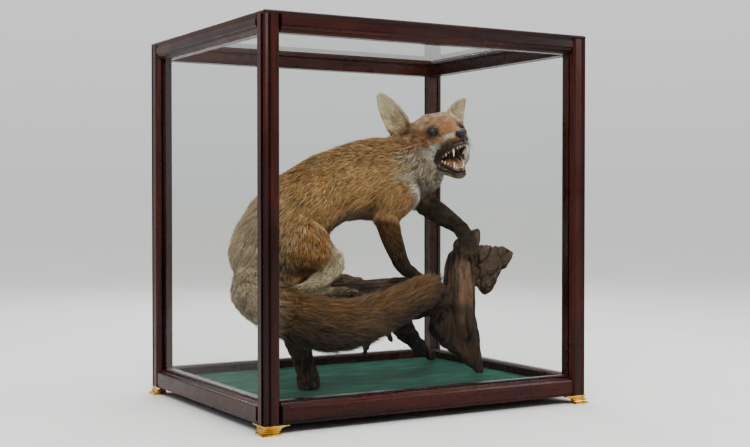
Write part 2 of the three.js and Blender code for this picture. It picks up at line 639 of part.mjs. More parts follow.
function buildFox() {
  fit('fox_trunk', (grow) => limb(SPINE, { around: 15, rows: 12, grow, share: 0.1 }), 'redCoat');
  fit('fox_neck', (grow) => limb(NECK, { around: 12, rows: 6, grow }), 'redCoat', ['fox_trunk']);

  // Eyes, nose and mouth parts come first, because the head is cut to hold them.
  for (const [name, side] of [['fox_eye_right', -1], ['fox_eye_left', 1]]) {
    const socket = [-77, side * 28.5, 18];
    const radii = [EYE_RADIUS, EYE_RADIUS, EYE_RADIUS];
    fit(name, (grow) => headBall(socket, radii, 10, 6, grow), 'eyeGlass');
  }
  fit('fox_nose', (grow) => headBall([-8, 0, 6], [8.5, 10.5, 8.5], 8, 6, grow), 'nosePad');
  const headParts = ['fox_eye_right', 'fox_eye_left', 'fox_nose', 'fox_neck', 'fox_trunk'];
  fit('fox_head', headForm, 'redCoat', headParts);

  const jaw = [[-100, 0, -43, 36, 26], [-83, 0, -56, 30, 18], [-66, 0, -66.5, 22, 12.5],
    [-51, 0, -73.5, 16, 9], [-41, 0, -77, 10.5, 6]];
  const jawForm = (grow) => headLimb(jaw, { around: 12, rows: 8, grow });
  fit('fox_jaw', jawForm, 'paleCoat', ['fox_head', 'fox_neck', 'fox_trunk']);
  fit('fox_teeth_upper', () => upperTeeth(), 'enamel', ['fox_head', 'fox_jaw', 'fox_nose']);
  fit('fox_teeth_lower', () => lowerTeeth(), 'enamel', ['fox_head', 'fox_jaw', 'fox_teeth_upper']);
  const tongue = [[-88, 0, -38, 15, 8], [-70, 0, -45, 15.5, 7.5], [-54, 0, -50, 15, 7], [-40, 0, -55, 11, 5]];
  const tongueForm = (grow) => headLimb(tongue, { around: 7, rows: 5, grow });
  const mouthParts = ['fox_head', 'fox_jaw', 'fox_teeth_upper', 'fox_teeth_lower'];
  fit('fox_tongue', tongueForm, 'tongueFlesh', mouthParts);

  // The right ear is laid back and turned to the front, the left one laid back and out.
  const ears = [
    ['fox_ear_right', [-147, -70, 42], [-0.56, -0.13, 0.82], [0.75, -0.6, 0.2]],
    ['fox_ear_left', [-140, 50, 46], [-0.69, 0.6, 0.41], [0.8, 0.6, 0.1]],
  ];
  for (const [name, root, way, opening] of ears) {
    const form = (grow) => ear(onHead(...root), headWay(...way), headWay(...opening), grow);
    fit(name, form, 'redCoat', ['fox_head', 'fox_neck', 'fox_trunk']);
  }

  const flesh = ['fox_trunk', 'fox_neck', 'fox_head', 'fox_jaw'];
  for (const [leg, { upper, lower, paw, up }] of Object.entries(LEGS)) {
    const upperName = `fox_${leg}_upper`;
    const lowerName = `fox_${leg}_lower`;
    const pawName = `fox_${leg}_paw`;
    const form = (stations, rows, share) => (grow) => limb(stations, { up, grow, around: 9, rows, share });
    const lowerLook = leg.startsWith('fore') ? 'darkCoat' : 'paleCoat';
    fit(upperName, form(upper, 7, 0.35), 'redCoat', flesh);
    fit(lowerName, form(lower, 6, 0.14), lowerLook, [...flesh, upperName]);
    fit(pawName, (grow) => pawForm(paw, grow), 'darkCoat', [...flesh, upperName, lowerName]);
  }

  // The brush in four lengths, each starting inside the end of the one before.
  const lengths = [[0, 3], [3, 5], [5, 7], [7, 10]];
  const hindquarters = ['fox_trunk', 'fox_hind_right_upper', 'fox_hind_right_lower', 'fox_hind_right_paw'];
  const placed = [];
  lengths.forEach(([first, last], index) => {
    const name = `fox_tail_${index + 1}`;
    const start = Math.max(first - 1, 0);
    const stations = TAIL.slice(start, last + 1);
    const share = index === lengths.length - 1 ? 0.2 : 0.12;
    const form = (grow) => limb(stations, { around: 11, rows: 6, grow, share });
    fit(name, form, 'redCoat', [...hindquarters, ...placed]);
    placed.push(name);
  });
}

// ---- the driftwood ----

/** Uneven girth of weathered wood, from the place along it and round it. */
function gnarl(seed) {
  return (t, angle) => 1
    + 0.1 * Math.sin(3 * angle + 9 * t + seed)
    + 0.06 * Math.sin(5 * angle - 17 * t + 2.3 * seed)
    + 0.05 * Math.sin(23 * t + seed);
}

const WOOD = {
  wood_log: [[124, 278, 166, 56, 32], [185, 281, 170, 74, 41], [280, 282, 172, 78, 44],
    [380, 280, 172, 74, 44], [470, 268, 175, 62, 42], [545, 250, 180, 42, 40]],
  wood_trunk: [[594, 205, 17, 7, 8], [574, 212, 45, 20, 17], [562, 225, 90, 31, 26],
    [557, 236, 140, 38, 33], [559, 243, 190, 38, 34], [565, 248, 235, 38, 31], [572, 247, 262, 31, 26],
    [580, 246, 286, 19, 17]],
  wood_horn: [[576, 236, 216, 15, 60], [600, 212, 240, 13, 46], [622, 190, 260, 11, 26],
    [643, 169, 270, 7, 8]],
  wood_spike: [[571, 248, 232, 22, 20], [568, 252, 266, 15, 14], [565, 256, 296, 8, 8]],
  wood_knot: [[388, 262, 176, 30, 30], [414, 236, 184, 27, 28], [436, 212, 190, 24, 26]],
  wood_stump: [[196, 216, 9, 27, 25], [194, 222, 40, 21, 20], [190, 236, 80, 22, 20],
    [188, 250, 120, 30, 26], [190, 262, 152, 34, 30]],
  wood_root_back: [[440, 290, 150, 27, 26], [472, 316, 106, 21, 22], [560, 390, 55, 14, 14],
    [638, 458, 18, 8, 8]],
};
// Broken spurs under the log, and the splinter and the buttress of the trunk.
const BRANCHES = {
  wood_log: [
    [[374, 280, 158, 15, 15], [362, 281, 100, 9, 9], [355, 282, 60, 2, 2]],
    [[388, 282, 158, 15, 15], [410, 284, 112, 9, 9], [425, 286, 82, 2, 2]],
  ],
  wood_trunk: [
    [[584, 250, 262, 20, 18], [606, 258, 294, 16, 15], [621, 264, 318, 6, 7]],
    [[592, 206, 34, 9, 10], [566, 222, 66, 15, 24], [534, 238, 102, 24, 34], [500, 254, 146, 30, 34]],
  ],
};

function buildWood() {
  const beneath = block([0, 0, -50], [CASE_WIDTH, CASE_DEPTH, BAIZE_TOP + GAP]);
  const fox = [...clearances.keys()];
  const joined = [];
  Object.entries(WOOD).forEach(([name, stations], index) => {
    const upright = Math.abs(stations[0][2] - stations[stations.length - 1][2]) > 100;
    const up = upright ? AHEAD : UP;
    const form = (grow) => limb(stations, { around: 9, rows: 8, up, grow, ripple: gnarl(index) });
    const grown = (grow) => (BRANCHES[name] ?? []).reduce(
      (rest, branch) => rest.add(limb(branch, { around: 6, rows: 5, up: AHEAD, grow })),
      form(grow),
    );
    fit(name, grown, 'driftwood', [...fox, ...joined], (solid) => solid.subtract(beneath));
    joined.push(name);
  });
}

buildCase();
buildFeet();
buildFox();
buildWood();

export default group;
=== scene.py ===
"""A snarling red fox, mounted on driftwood in its glazed mahogany case: the fine model and its looks."""

import logging
import math
from dataclasses import dataclass
from enum import Enum
from typing import Callable, Sequence

import bpy
import numpy as np
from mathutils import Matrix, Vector
from mathutils.bvhtree import BVHTree


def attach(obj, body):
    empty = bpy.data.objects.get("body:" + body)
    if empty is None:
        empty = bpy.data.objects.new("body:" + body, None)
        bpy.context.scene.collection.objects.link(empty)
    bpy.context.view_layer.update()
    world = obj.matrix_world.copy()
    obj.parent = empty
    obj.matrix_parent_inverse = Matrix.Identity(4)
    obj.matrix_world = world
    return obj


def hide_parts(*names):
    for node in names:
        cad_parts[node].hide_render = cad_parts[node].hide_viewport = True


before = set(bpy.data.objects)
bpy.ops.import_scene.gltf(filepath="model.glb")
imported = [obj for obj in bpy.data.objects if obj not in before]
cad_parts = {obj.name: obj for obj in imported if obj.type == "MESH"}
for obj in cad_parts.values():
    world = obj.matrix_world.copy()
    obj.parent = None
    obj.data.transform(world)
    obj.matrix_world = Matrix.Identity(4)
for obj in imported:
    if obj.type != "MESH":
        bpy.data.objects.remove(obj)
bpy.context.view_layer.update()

MM = 0.001
CM2_IN_M2 = 1e4
CASE_CORNER = np.array([-348.0, -274.0, 22.0])
log = logging.getLogger("fox")

Colour = tuple[float, float, float]
Point = tuple[float, float, float]
Socket = bpy.types.NodeSocket
Thing = bpy.types.Object


def placed(points: Sequence) -> np.ndarray:
    """Points in mm from the frame's near left corner, as metres in the row's frame."""
    return (np.asarray(points, float) + CASE_CORNER) * MM


def in_case(points: np.ndarray) -> np.ndarray:
    """Points in metres in the row's frame, as mm from the frame's near left corner."""
    return points / MM - CASE_CORNER


def linear(red: int, green: int, blue: int) -> Colour:
    """A colour of 0 to 255 a channel, as the eye sees it, in the numbers that light adds up in.

    Args:
        red: the first channel.
        green: the second channel.
        blue: the third channel.

    Returns:
        The three linear channels, from 0 to 1.
    """
    toe, reach, power = 0.055, 1.055, 2.4
    shares = (np.array([red, green, blue]) / 255.0 + toe) / reach
    return tuple(float(share**power) for share in shares)


def step(values: np.ndarray, low: float, high: float) -> np.ndarray:
    """A soft step from 0 at low to 1 at high."""
    share = np.clip((values - low) / (high - low), 0.0, 1.0)
    return share * share * (3.0 - 2.0 * share)


def blend(first: np.ndarray, second: Sequence, share: np.ndarray) -> np.ndarray:
    """Rows of colour moved by share towards a second colour."""
    return first + (np.asarray(second) - first) * share[:, None]


def layered(base: np.ndarray, *patches: tuple[Sequence, np.ndarray]) -> np.ndarray:
    """Lays patches of colour over rows of colour.

    Args:
        base: rows of colour.
        patches: each a colour and its share at each row, laid in turn.

    Returns:
        The rows with every patch laid.
    """
    for colour, share in patches:
        base = blend(base, colour, share)
    return base


def covered(count: int, colour: Colour) -> np.ndarray:
    """Rows of one colour."""
    return np.tile(np.array(colour), (count, 1))


def unit(vectors: np.ndarray) -> np.ndarray:
    """Rows scaled to length 1."""
    return vectors / np.maximum(np.linalg.norm(vectors, axis=-1, keepdims=True), 1e-9)


def along(pairs: Sequence[tuple[float, float]], places: np.ndarray) -> np.ndarray:
    """The value of a profile of (place, value) pairs at each place."""
    table = np.asarray(pairs, float)
    return np.interp(places, table[:, 0], table[:, 1])


class Grain:
    """Smooth scattered values over space, the same on every run."""

    axis_mixers = (73856093, 19349663, 83492791)
    seed_mixer = 40503
    last_mixer = 1274126177
    top_value = 0xFFFFFF
    octave_seeds = 17
    layer_sum = 1.6

    @classmethod
    def at(cls, points: np.ndarray, cell: float, seed: int) -> np.ndarray:
        """Values from -1 to 1 that vary over a cell.

        Args:
            points: rows of places.
            cell: the size of a cell, in the points' own measure.
            seed: picks one pattern.

        Returns:
            One value a row.
        """
        place = points / cell
        low = np.floor(place).astype(np.int64)
        part = place - low
        part = part * part * (3.0 - 2.0 * part)
        total = np.zeros(len(points))
        for corner in np.ndindex(2, 2, 2):
            key = (low + corner) * np.array(cls.axis_mixers)
            mark = key[:, 0] ^ key[:, 1] ^ key[:, 2] ^ seed * cls.seed_mixer
            mark = (mark ^ (mark >> 13)) * cls.last_mixer
            mark = mark ^ (mark >> 16)
            value = (mark & cls.top_value) / float(cls.top_value)
            total += np.prod(np.where(corner, part, 1.0 - part), axis=1) * value
        return total * 2.0 - 1.0

    @classmethod
    def layers(cls, points: np.ndarray, cell: float, seed: int, octaves: int = 3) -> np.ndarray:
        """Several sizes of grain added, each half the size and strength of the one before.

        Args:
            points: rows of places.
            cell: the largest cell.
            seed: picks one pattern.
            octaves: how many sizes there are.

        Returns:
            One value a row, from about -1 to 1.
        """
        total = np.zeros(len(points))
        for octave in range(octaves):
            total += cls.at(points, cell / 2**octave, seed + cls.octave_seeds * octave) / 2**octave
        return total / cls.layer_sum


# ---------------------------------------------------------------- finishes


class NodeBoard:
    """One material's nodes, with short ways to add those that finishes share."""

    def __init__(self, name: str) -> None:
        """Starts a material with one Principled shader.

        Args:
            name: the material's name.
        """
        self.material = bpy.data.materials.new(name)
        self.material.use_nodes = True
        tree = self.material.node_tree
        tree.nodes.clear()
        self.tree = tree
        self.output = tree.nodes.new("ShaderNodeOutputMaterial")
        self.shader = tree.nodes.new("ShaderNodeBsdfPrincipled")
        tree.links.new(self.shader.outputs["BSDF"], self.output.inputs["Surface"])
        self.place = tree.nodes.new("ShaderNodeTexCoord").outputs["Object"]

    def add(self, kind: str, links: dict | None = None, **settings: object) -> bpy.types.Node:
        """A node of a kind.

        Args:
            kind: its type name.
            links: sockets or plain values for its inputs, by name or number.
            settings: its own properties.

        Returns:
            The node.
        """
        node = self.tree.nodes.new(kind)
        for key, value in settings.items():
            setattr(node, key, value)
        for key, value in (links or {}).items():
            if isinstance(value, Socket):
                self.tree.links.new(value, node.inputs[key])
            else:
                node.inputs[key].default_value = value
        return node

    def stretch(self, scale: Point, turn: Point = (0, 0, 0)) -> Socket:
        """The object's own coordinates, scaled and turned."""
        links = {"Vector": self.place, "Scale": scale, "Rotation": turn}
        return self.add("ShaderNodeMapping", links).outputs[0]

    def noise(self, place: Socket, scale: float, detail: float = 3.0, warp: float = 0.0) -> Socket:
        """Noise from 0 to 1 over a place."""
        links = {"Vector": place, "Scale": scale, "Detail": detail, "Distortion": warp}
        return self.add("ShaderNodeTexNoise", links).outputs["Fac"]

    def ramp(self, amount: Socket, stops: Sequence[tuple[float, Colour]]) -> Socket:
        """Colours along an amount.

        Args:
            amount: what picks the colour.
            stops: the place of each colour along it.

        Returns:
            The colour.
        """
        node = self.add("ShaderNodeValToRGB", {"Fac": amount})
        band = node.color_ramp.elements
        while len(band) < len(stops):
            band.new(0.5)
        for element, (position, colour) in zip(band, stops):
            element.position = position
            element.color = (*colour, 1.0)
        return node.outputs["Color"]

    def levels(self, amount: Socket, low: float, high: float, first: float, second: float) -> Socket:
        """An amount between low and high taken to run from first to second."""
        links = {"Value": amount, "From Min": low, "From Max": high, "To Min": first, "To Max": second}
        return self.add("ShaderNodeMapRange", links).outputs[0]

    def mix(self, share: Socket | float, first: Socket | Colour, second: Socket | Colour,
            mode: str = "MIX") -> Socket:
        """Two colours mixed by a share.

        Args:
            share: how much of the second there is.
            first: the colour below.
            second: the colour above.
            mode: how the second is laid on.

        Returns:
            The colour.
        """
        node = self.add("ShaderNodeMix", data_type="RGBA", blend_type=mode)
        for socket, value in ((node.inputs[0], share), (node.inputs[6], first), (node.inputs[7], second)):
            if isinstance(value, Socket):
                self.tree.links.new(value, socket)
            else:
                socket.default_value = value if isinstance(value, float) else (*value, 1.0)
        return node.outputs[2]

    def math(self, operation: str, first: Socket | float, second: Socket | float) -> Socket:
        """A sum on two amounts."""
        return self.add("ShaderNodeMath", {0: first, 1: second}, operation=operation).outputs[0]

    def grey(self, amount: Socket) -> Socket:
        """An amount as a grey."""
        return self.add("ShaderNodeCombineColor", {0: amount, 1: amount, 2: amount}).outputs[0]

    def colour_of(self, attribute: str) -> Socket:
        """A mesh's colour attribute."""
        return self.add("ShaderNodeAttribute", attribute_name=attribute).outputs["Color"]

    def drive(self, **sockets: Socket) -> None:
        """Links sockets of the shader, named with _ for a space."""
        for key, value in sockets.items():
            self.tree.links.new(value, self.shader.inputs[key.replace("_", " ")])

    def set(self, **values: object) -> None:
        """Sets plain values of the shader, named with _ for a space."""
        for key, value in values.items():
            self.shader.inputs[key.replace("_", " ")].default_value = value

    def emboss(self, height: Socket, strength: float, distance: float) -> None:
        """Bumps the surface by a height."""
        links = {"Height": height, "Strength": strength, "Distance": distance}
        self.drive(Normal=self.add("ShaderNodeBump", links).outputs[0])


class Run(Enum):
    """Which way the grain of a wooden member runs."""

    ALONG = (0.05, 1.0, 1.0)
    DEEP = (1.0, 0.05, 1.0)
    TALL = (1.0, 1.0, 0.05)


@dataclass(frozen=True)
class Mahogany:
    """Polished red-brown mahogany with pores and a worn sheen."""

    run: Run
    figure: float = 42.0
    pores: float = 620.0

    def make(self) -> bpy.types.Material:
        """Makes the finish, with its grain along the member.

        Returns:
            The material.
        """
        board = NodeBoard(f"mahogany_{self.run.name.lower()}")
        place = board.stretch(self.run.value)
        bands = board.noise(place, self.figure, 5.0, 0.7)
        streaks = board.noise(place, self.figure * 5.5, 3.0)
        pores = board.noise(place, self.pores, 2.0)
        colour = board.ramp(
            bands,
            [(0.28, linear(22, 7, 5)), (0.46, linear(42, 12, 7)), (0.6, linear(66, 21, 11)),
             (0.78, linear(33, 10, 6))],
        )
        dark = board.levels(streaks, 0.35, 0.65, 0.55, 1.0)
        colour = board.mix(1.0, colour, board.grey(dark), "MULTIPLY")
        pits = board.levels(pores, 0.3, 0.42, 0.0, 1.0)
        colour = board.mix(board.levels(pits, 0.0, 1.0, 0.5, 0.0), colour, linear(24, 8, 6))
        smear = board.noise(board.place, 16.0, 4.0)
        rough = board.levels(smear, 0.3, 0.7, 0.2, 0.38)
        board.drive(Base_Color=colour, Roughness=rough)
        board.set(Coat_Weight=0.08, Coat_Roughness=0.14, Specular_IOR_Level=0.28)
        board.emboss(board.math("ADD", pits, board.math("MULTIPLY", streaks, 0.6)), 0.22, 0.0004)
        return board.material


@dataclass(frozen=True)
class Brass:
    """Polished yellow brass, dulled in places."""

    cloud: float = 55.0
    brush_marks: float = 900.0

    def make(self) -> bpy.types.Material:
        """Makes the finish.

        Returns:
            The material.
        """
        board = NodeBoard("brass")
        cloud = board.noise(board.place, self.cloud, 5.0, 0.4)
        brushed = board.noise(board.stretch((1.0, 1.0, 0.06)), self.brush_marks, 2.0)
        colour = board.ramp(
            cloud, [(0.3, linear(150, 112, 42)), (0.5, linear(212, 170, 84)), (0.75, linear(232, 198, 118))]
        )
        board.drive(Base_Color=colour, Roughness=board.levels(cloud, 0.3, 0.7, 0.34, 0.16))
        board.set(Metallic=1.0)
        board.emboss(board.math("ADD", cloud, board.math("MULTIPLY", brushed, 0.4)), 0.15, 0.0004)
        return board.material


@dataclass(frozen=True)
class Glass:
    """Thin old window glass, which mirrors a little and lets light through."""

    mirror: float = 1.22
    tint: tuple[float, float, float, float] = (0.965, 0.978, 0.97, 1.0)

    def make(self) -> bpy.types.Material:
        """Makes the finish: clear, with a mirror on each pane's outer faces.

        Returns:
            The material.
        """
        board = NodeBoard("pane_glass")
        tree = board.tree
        tree.nodes.remove(board.shader)
        clear = board.add("ShaderNodeBsdfTransparent", {"Color": self.tint})
        ripple = board.noise(board.place, 5.0, 2.0)
        normal = board.add("ShaderNodeBump", {"Height": ripple, "Strength": 0.05, "Distance": 0.002})
        smudge = board.levels(board.noise(board.place, 9.0, 6.0, 0.8), 0.45, 0.75, 0.015, 0.07)
        gloss = board.add("ShaderNodeBsdfGlossy", {"Roughness": smudge, "Normal": normal.outputs[0]})
        fresnel = board.add("ShaderNodeFresnel", {"IOR": self.mirror}).outputs[0]
        outer = board.math("SUBTRACT", 1.0, board.add("ShaderNodeNewGeometry").outputs["Backfacing"])
        share = board.math("MULTIPLY", fresnel, outer)
        links = {0: share, 1: clear.outputs[0], 2: gloss.outputs[0]}
        tree.links.new(board.add("ShaderNodeMixShader", links).outputs[0], board.output.inputs["Surface"])
        return board.material


@dataclass(frozen=True)
class Baize:
    """Green woollen baize, with the nap brushed in streaks."""

    streak: float = 9.0
    cloud: float = 38.0
    thread: float = 1500.0

    def make(self) -> bpy.types.Material:
        """Makes the finish.

        Returns:
            The material.
        """
        board = NodeBoard("baize")
        strokes = board.noise(board.stretch((1.0, 4.5, 1.0), (0, 0, 0.35)), self.streak, 6.0, 1.3)
        mottle = board.noise(board.place, self.cloud, 4.0)
        threads = board.noise(board.place, self.thread, 2.0)
        colour = board.ramp(
            strokes,
            [(0.32, linear(2, 26, 21)), (0.45, linear(4, 50, 39)), (0.56, linear(10, 76, 58)),
             (0.7, linear(30, 106, 82))],
        )
        worn = board.levels(mottle, 0.3, 0.7, 0.0, 0.35)
        colour = board.mix(worn, colour, linear(8, 60, 46))
        fleck = board.levels(threads, 0.4, 0.6, 0.0, 0.3)
        colour = board.mix(fleck, colour, linear(26, 98, 76))
        board.drive(Base_Color=colour, Roughness=board.levels(mottle, 0.3, 0.7, 0.85, 1.0))
        board.set(Sheen_Weight=0.06, Sheen_Roughness=0.5, Specular_IOR_Level=0.1)
        board.emboss(board.math("ADD", threads, board.math("MULTIPLY", strokes, 0.8)), 0.5, 0.0008)
        return board.material


@dataclass(frozen=True)
class Painted:
    """A natural surface whose colour lies in the mesh's own attribute, broken by fine grain.

    The range of roughness comes first, then the grain's size, the bump's depth in metres and its strength.
    Speck is how much the grain changes the colour, and broad grain is nine times the size of the fine.
    """

    name: str
    rough: tuple[float, float] = (0.55, 0.8)
    grain: float = 900.0
    depth: float = 0.0004
    strength: float = 0.4
    sheen: float = 0.0
    gloss: float = 0.35
    wet: float = 0.0
    speck: float = 0.25
    broader: float = 9.0

    def make(self) -> bpy.types.Material:
        """Makes the finish.

        Returns:
            The material.
        """
        board = NodeBoard(self.name)
        fine = board.noise(board.place, self.grain, 4.0)
        broad = board.noise(board.place, self.grain / self.broader, 3.0)
        colour = board.colour_of("coat")
        shade = board.grey(board.levels(fine, 0.3, 0.7, 1.0 - self.speck, 1.0 + self.speck))
        colour = board.mix(1.0, colour, shade, "MULTIPLY")
        board.drive(Base_Color=colour, Roughness=board.levels(broad, 0.3, 0.7, *self.rough))
        board.set(Specular_IOR_Level=self.gloss, Coat_Weight=self.wet, Coat_Roughness=0.12)
        board.set(Sheen_Weight=self.sheen, Sheen_Roughness=0.45)
        board.emboss(board.math("ADD", fine, broad), self.strength, self.depth)
        return board.material


@dataclass(frozen=True)
class Backdrop:
    """Pale, matt studio paper."""

    def make(self) -> bpy.types.Material:
        """Makes the finish.

        Returns:
            The material.
        """
        board = NodeBoard("studio_paper")
        soft = board.noise(board.place, 3.0, 2.0)
        shades = [(0.3, linear(206, 205, 203)), (0.7, linear(210, 209, 207))]
        board.drive(Base_Color=board.ramp(soft, shades))
        board.set(Roughness=0.95, Specular_IOR_Level=0.1)
        return board.material


# ---------------------------------------------------------------- mesh craft


class Craft:
    """Ways to make, read and shape meshes that every class here shares."""

    weld = 0.00001
    gentle = 50.0

    @staticmethod
    def only(*things: Thing) -> None:
        """Selects objects alone.

        Args:
            things: the objects, of which the first becomes the active one.
        """
        bpy.ops.object.select_all(action="DESELECT")
        for thing in things:
            thing.select_set(True)
        bpy.context.view_layer.objects.active = things[0]

    @staticmethod
    def in_edit(thing: Thing, operator: Callable, **settings: object) -> None:
        """Runs an edit mode operator on all of a mesh.

        Args:
            thing: the mesh's object.
            operator: the operator.
            settings: what it is given.
        """
        Craft.only(thing)
        bpy.ops.object.mode_set(mode="EDIT")
        bpy.ops.mesh.select_all(action="SELECT")
        operator(**settings)
        bpy.ops.object.mode_set(mode="OBJECT")

    @staticmethod
    def fused(things: Sequence[Thing], name: str) -> Thing:
        """Joins several meshes into the first.

        Args:
            things: the objects.
            name: the whole's name.

        Returns:
            The whole.
        """
        Craft.only(*things)
        if len(things) > 1:
            bpy.ops.object.join()
        things[0].name = name
        things[0].data.name = name
        return things[0]

    @staticmethod
    def _rows(source: Sequence, key: str, columns: int, kind: type = float) -> np.ndarray:
        """A property of each of a mesh's elements.

        Args:
            source: the elements.
            key: the property.
            columns: how many values it has.
            kind: their type.

        Returns:
            One element a row.
        """
        flat = np.empty(len(source) * columns, dtype=kind)
        source.foreach_get(key, flat)
        return flat.reshape(-1, columns)

    @staticmethod
    def corners(thing: Thing) -> np.ndarray:
        """The places of a mesh's vertices, one a row."""
        return Craft._rows(thing.data.vertices, "co", 3)

    @staticmethod
    def normals(thing: Thing) -> np.ndarray:
        """The normals of a mesh's vertices, one a row."""
        return Craft._rows(thing.data.vertices, "normal", 3)

    @staticmethod
    def edges(thing: Thing) -> np.ndarray:
        """The two ends of each edge, one edge a row."""
        return Craft._rows(thing.data.edges, "vertices", 2, np.int64)

    @staticmethod
    def triangles(thing: Thing) -> np.ndarray:
        """The three corners of each triangle, one a row."""
        thing.data.calc_loop_triangles()
        return Craft._rows(thing.data.loop_triangles, "vertices", 3, np.int64)

    @staticmethod
    def move(thing: Thing, places: np.ndarray) -> None:
        """Puts a mesh's vertices at new places."""
        thing.data.vertices.foreach_set("co", np.ascontiguousarray(places, dtype=np.float64).ravel())
        thing.data.update()

    @staticmethod
    def even_out(values: np.ndarray, edges: np.ndarray, times: int, share: float = 0.5) -> np.ndarray:
        """Draws each row towards the mean of its neighbours.

        Args:
            values: one row a vertex.
            edges: the two ends of each edge.
            times: how often it is done.
            share: how far each row goes.

        Returns:
            The evened rows.
        """
        ends = np.concatenate([edges[:, 0], edges[:, 1]])
        others = np.concatenate([edges[:, 1], edges[:, 0]])
        others = others[np.argsort(ends, kind="stable")]
        count = np.maximum(np.bincount(ends, minlength=len(values)), 1)
        starts = np.concatenate([[0], np.cumsum(count)[:-1]])
        starts = np.minimum(starts, len(others) - 1)
        for _ in range(times):
            mean = np.add.reduceat(values[others], starts, axis=0) / count[:, None]
            values = values + (mean - values) * share
        return values

    @staticmethod
    def copy_of(names: Sequence[str], name: str, swell: float) -> Thing:
        """One mesh with the closed forms of several CAD nodes.

        Args:
            names: the nodes.
            name: the new object's name.
            swell: how far each form grows, in mm, so that close neighbours meet.

        Returns:
            The new object, at the origin.
        """
        copies = []
        for node in names:
            copy = bpy.data.objects.new(f"copy_{node}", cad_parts[node].data.copy())
            copy.data.materials.clear()
            bpy.context.scene.collection.objects.link(copy)
            Craft.in_edit(copy, bpy.ops.mesh.remove_doubles, threshold=Craft.weld)
            Craft.move(copy, Craft.corners(copy) + unit(Craft.normals(copy)) * swell * MM)
            copies.append(copy)
        return Craft.fused(copies, name)

    @staticmethod
    def apply(thing: Thing, kind: str, **settings: object) -> None:
        """Adds a modifier and applies it.

        Args:
            thing: the object.
            kind: the modifier's type.
            settings: the modifier's properties.
        """
        Craft.only(thing)
        modifier = thing.modifiers.new("work", kind)
        for key, value in settings.items():
            setattr(modifier, key, value)
        bpy.ops.object.modifier_apply(modifier="work")

    @staticmethod
    def paint(thing: Thing, colours: np.ndarray) -> None:
        """Keeps a colour for each vertex in the attribute that finishes read.

        Args:
            thing: the object.
            colours: one linear colour a vertex.
        """
        layer = thing.data.color_attributes.new("coat", "FLOAT_COLOR", "POINT")
        full = np.ones((len(colours), 4), dtype=np.float32)
        full[:, :3] = np.clip(colours, 0.0, 1.0)
        layer.data.foreach_set("color", full.ravel())

    @staticmethod
    def tint(thing: Thing, colour: Colour, *patches: tuple[Sequence, np.ndarray]) -> None:
        """Paints a mesh one colour, with patches of others laid over it in turn."""
        Craft.paint(thing, layered(covered(len(thing.data.vertices), colour), *patches))

    @staticmethod
    def finish(thing: Thing, finish: bpy.types.Material, slot: str, nodes: Sequence[str] = ()) -> None:
        """Dresses a piece and fixes it to the model.

        Args:
            thing: the piece.
            finish: its material.
            slot: the kind of material that it stands for; not used.
            nodes: the CAD nodes that it replaces.
        """
        thing.data.materials.clear()
        thing.data.materials.append(finish)
        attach(thing, "root")
        if nodes:
            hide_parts(*nodes)
        log.info("%s: %d faces", thing.name, len(thing.data.polygons))

    @staticmethod
    def shaped(around: int, rows: int, shape: Callable[[np.ndarray], np.ndarray]) -> Thing:
        """A sphere whose points are each moved.

        Args:
            around: how many points go round it, with its poles up and down.
            rows: how many rings of faces it has.
            shape: takes the points on the unit sphere to their new places.

        Returns:
            The object.
        """
        bpy.ops.object.select_all(action="DESELECT")
        bpy.ops.mesh.primitive_uv_sphere_add(segments=around, ring_count=rows, radius=1.0)
        thing = bpy.context.active_object
        Craft.move(thing, shape(Craft.corners(thing)))
        return thing

    @staticmethod
    def joined(things: Sequence[Thing], name: str) -> Thing:
        """Several meshes as one, facing outwards, and smooth over gentle edges.

        Args:
            things: the objects.
            name: the whole's name.

        Returns:
            The whole.
        """
        whole = Craft.fused(things, name)
        Craft.in_edit(whole, bpy.ops.mesh.normals_make_consistent, inside=False)
        bpy.ops.object.shade_smooth_by_angle(angle=math.radians(Craft.gentle))
        return whole

    @staticmethod
    def smooth_line(points: Sequence, count: int) -> np.ndarray:
        """A smooth line through points, at even steps of its knots.

        Args:
            points: the knots, of any number of columns.
            count: how many rows the line has.

        Returns:
            The line's rows.
        """
        knots = np.asarray(points, float)
        padded = np.vstack([2 * knots[0] - knots[1], knots, 2 * knots[-1] - knots[-2]])
        place = np.linspace(0, len(knots) - 1, count)
        index = np.minimum(place.astype(int), len(knots) - 2)
        t = (place - index)[:, None]
        a, b, c, d = (padded[index + k] for k in range(4))
        square, cube = 2 * a - 5 * b + 4 * c - d, 3 * b - a - 3 * c + d
        return 0.5 * (2 * b + (c - a) * t + square * t**2 + cube * t**3)

    @staticmethod
    def tube(line: np.ndarray, side: np.ndarray, deep: np.ndarray, up: np.ndarray, around: int) -> Thing:
        """A closed form swept along a line.

        Args:
            line: the middle, one place a row, in metres.
            side: half its width at each place.
            deep: half its depth at each place.
            up: which way its depth lies, as one direction or one a row.
            around: how many points go round it.

        Returns:
            A sphere shaped over the line, closed at both ends.
        """
        rows = max(len(line), 4)
        blunt, closing = 0.25, 1.6
        tangent = unit(np.gradient(line, axis=0))
        upward = np.broadcast_to(np.asarray(up, float), line.shape)
        across = unit(np.cross(tangent, upward))
        upward = unit(np.cross(across, tangent))

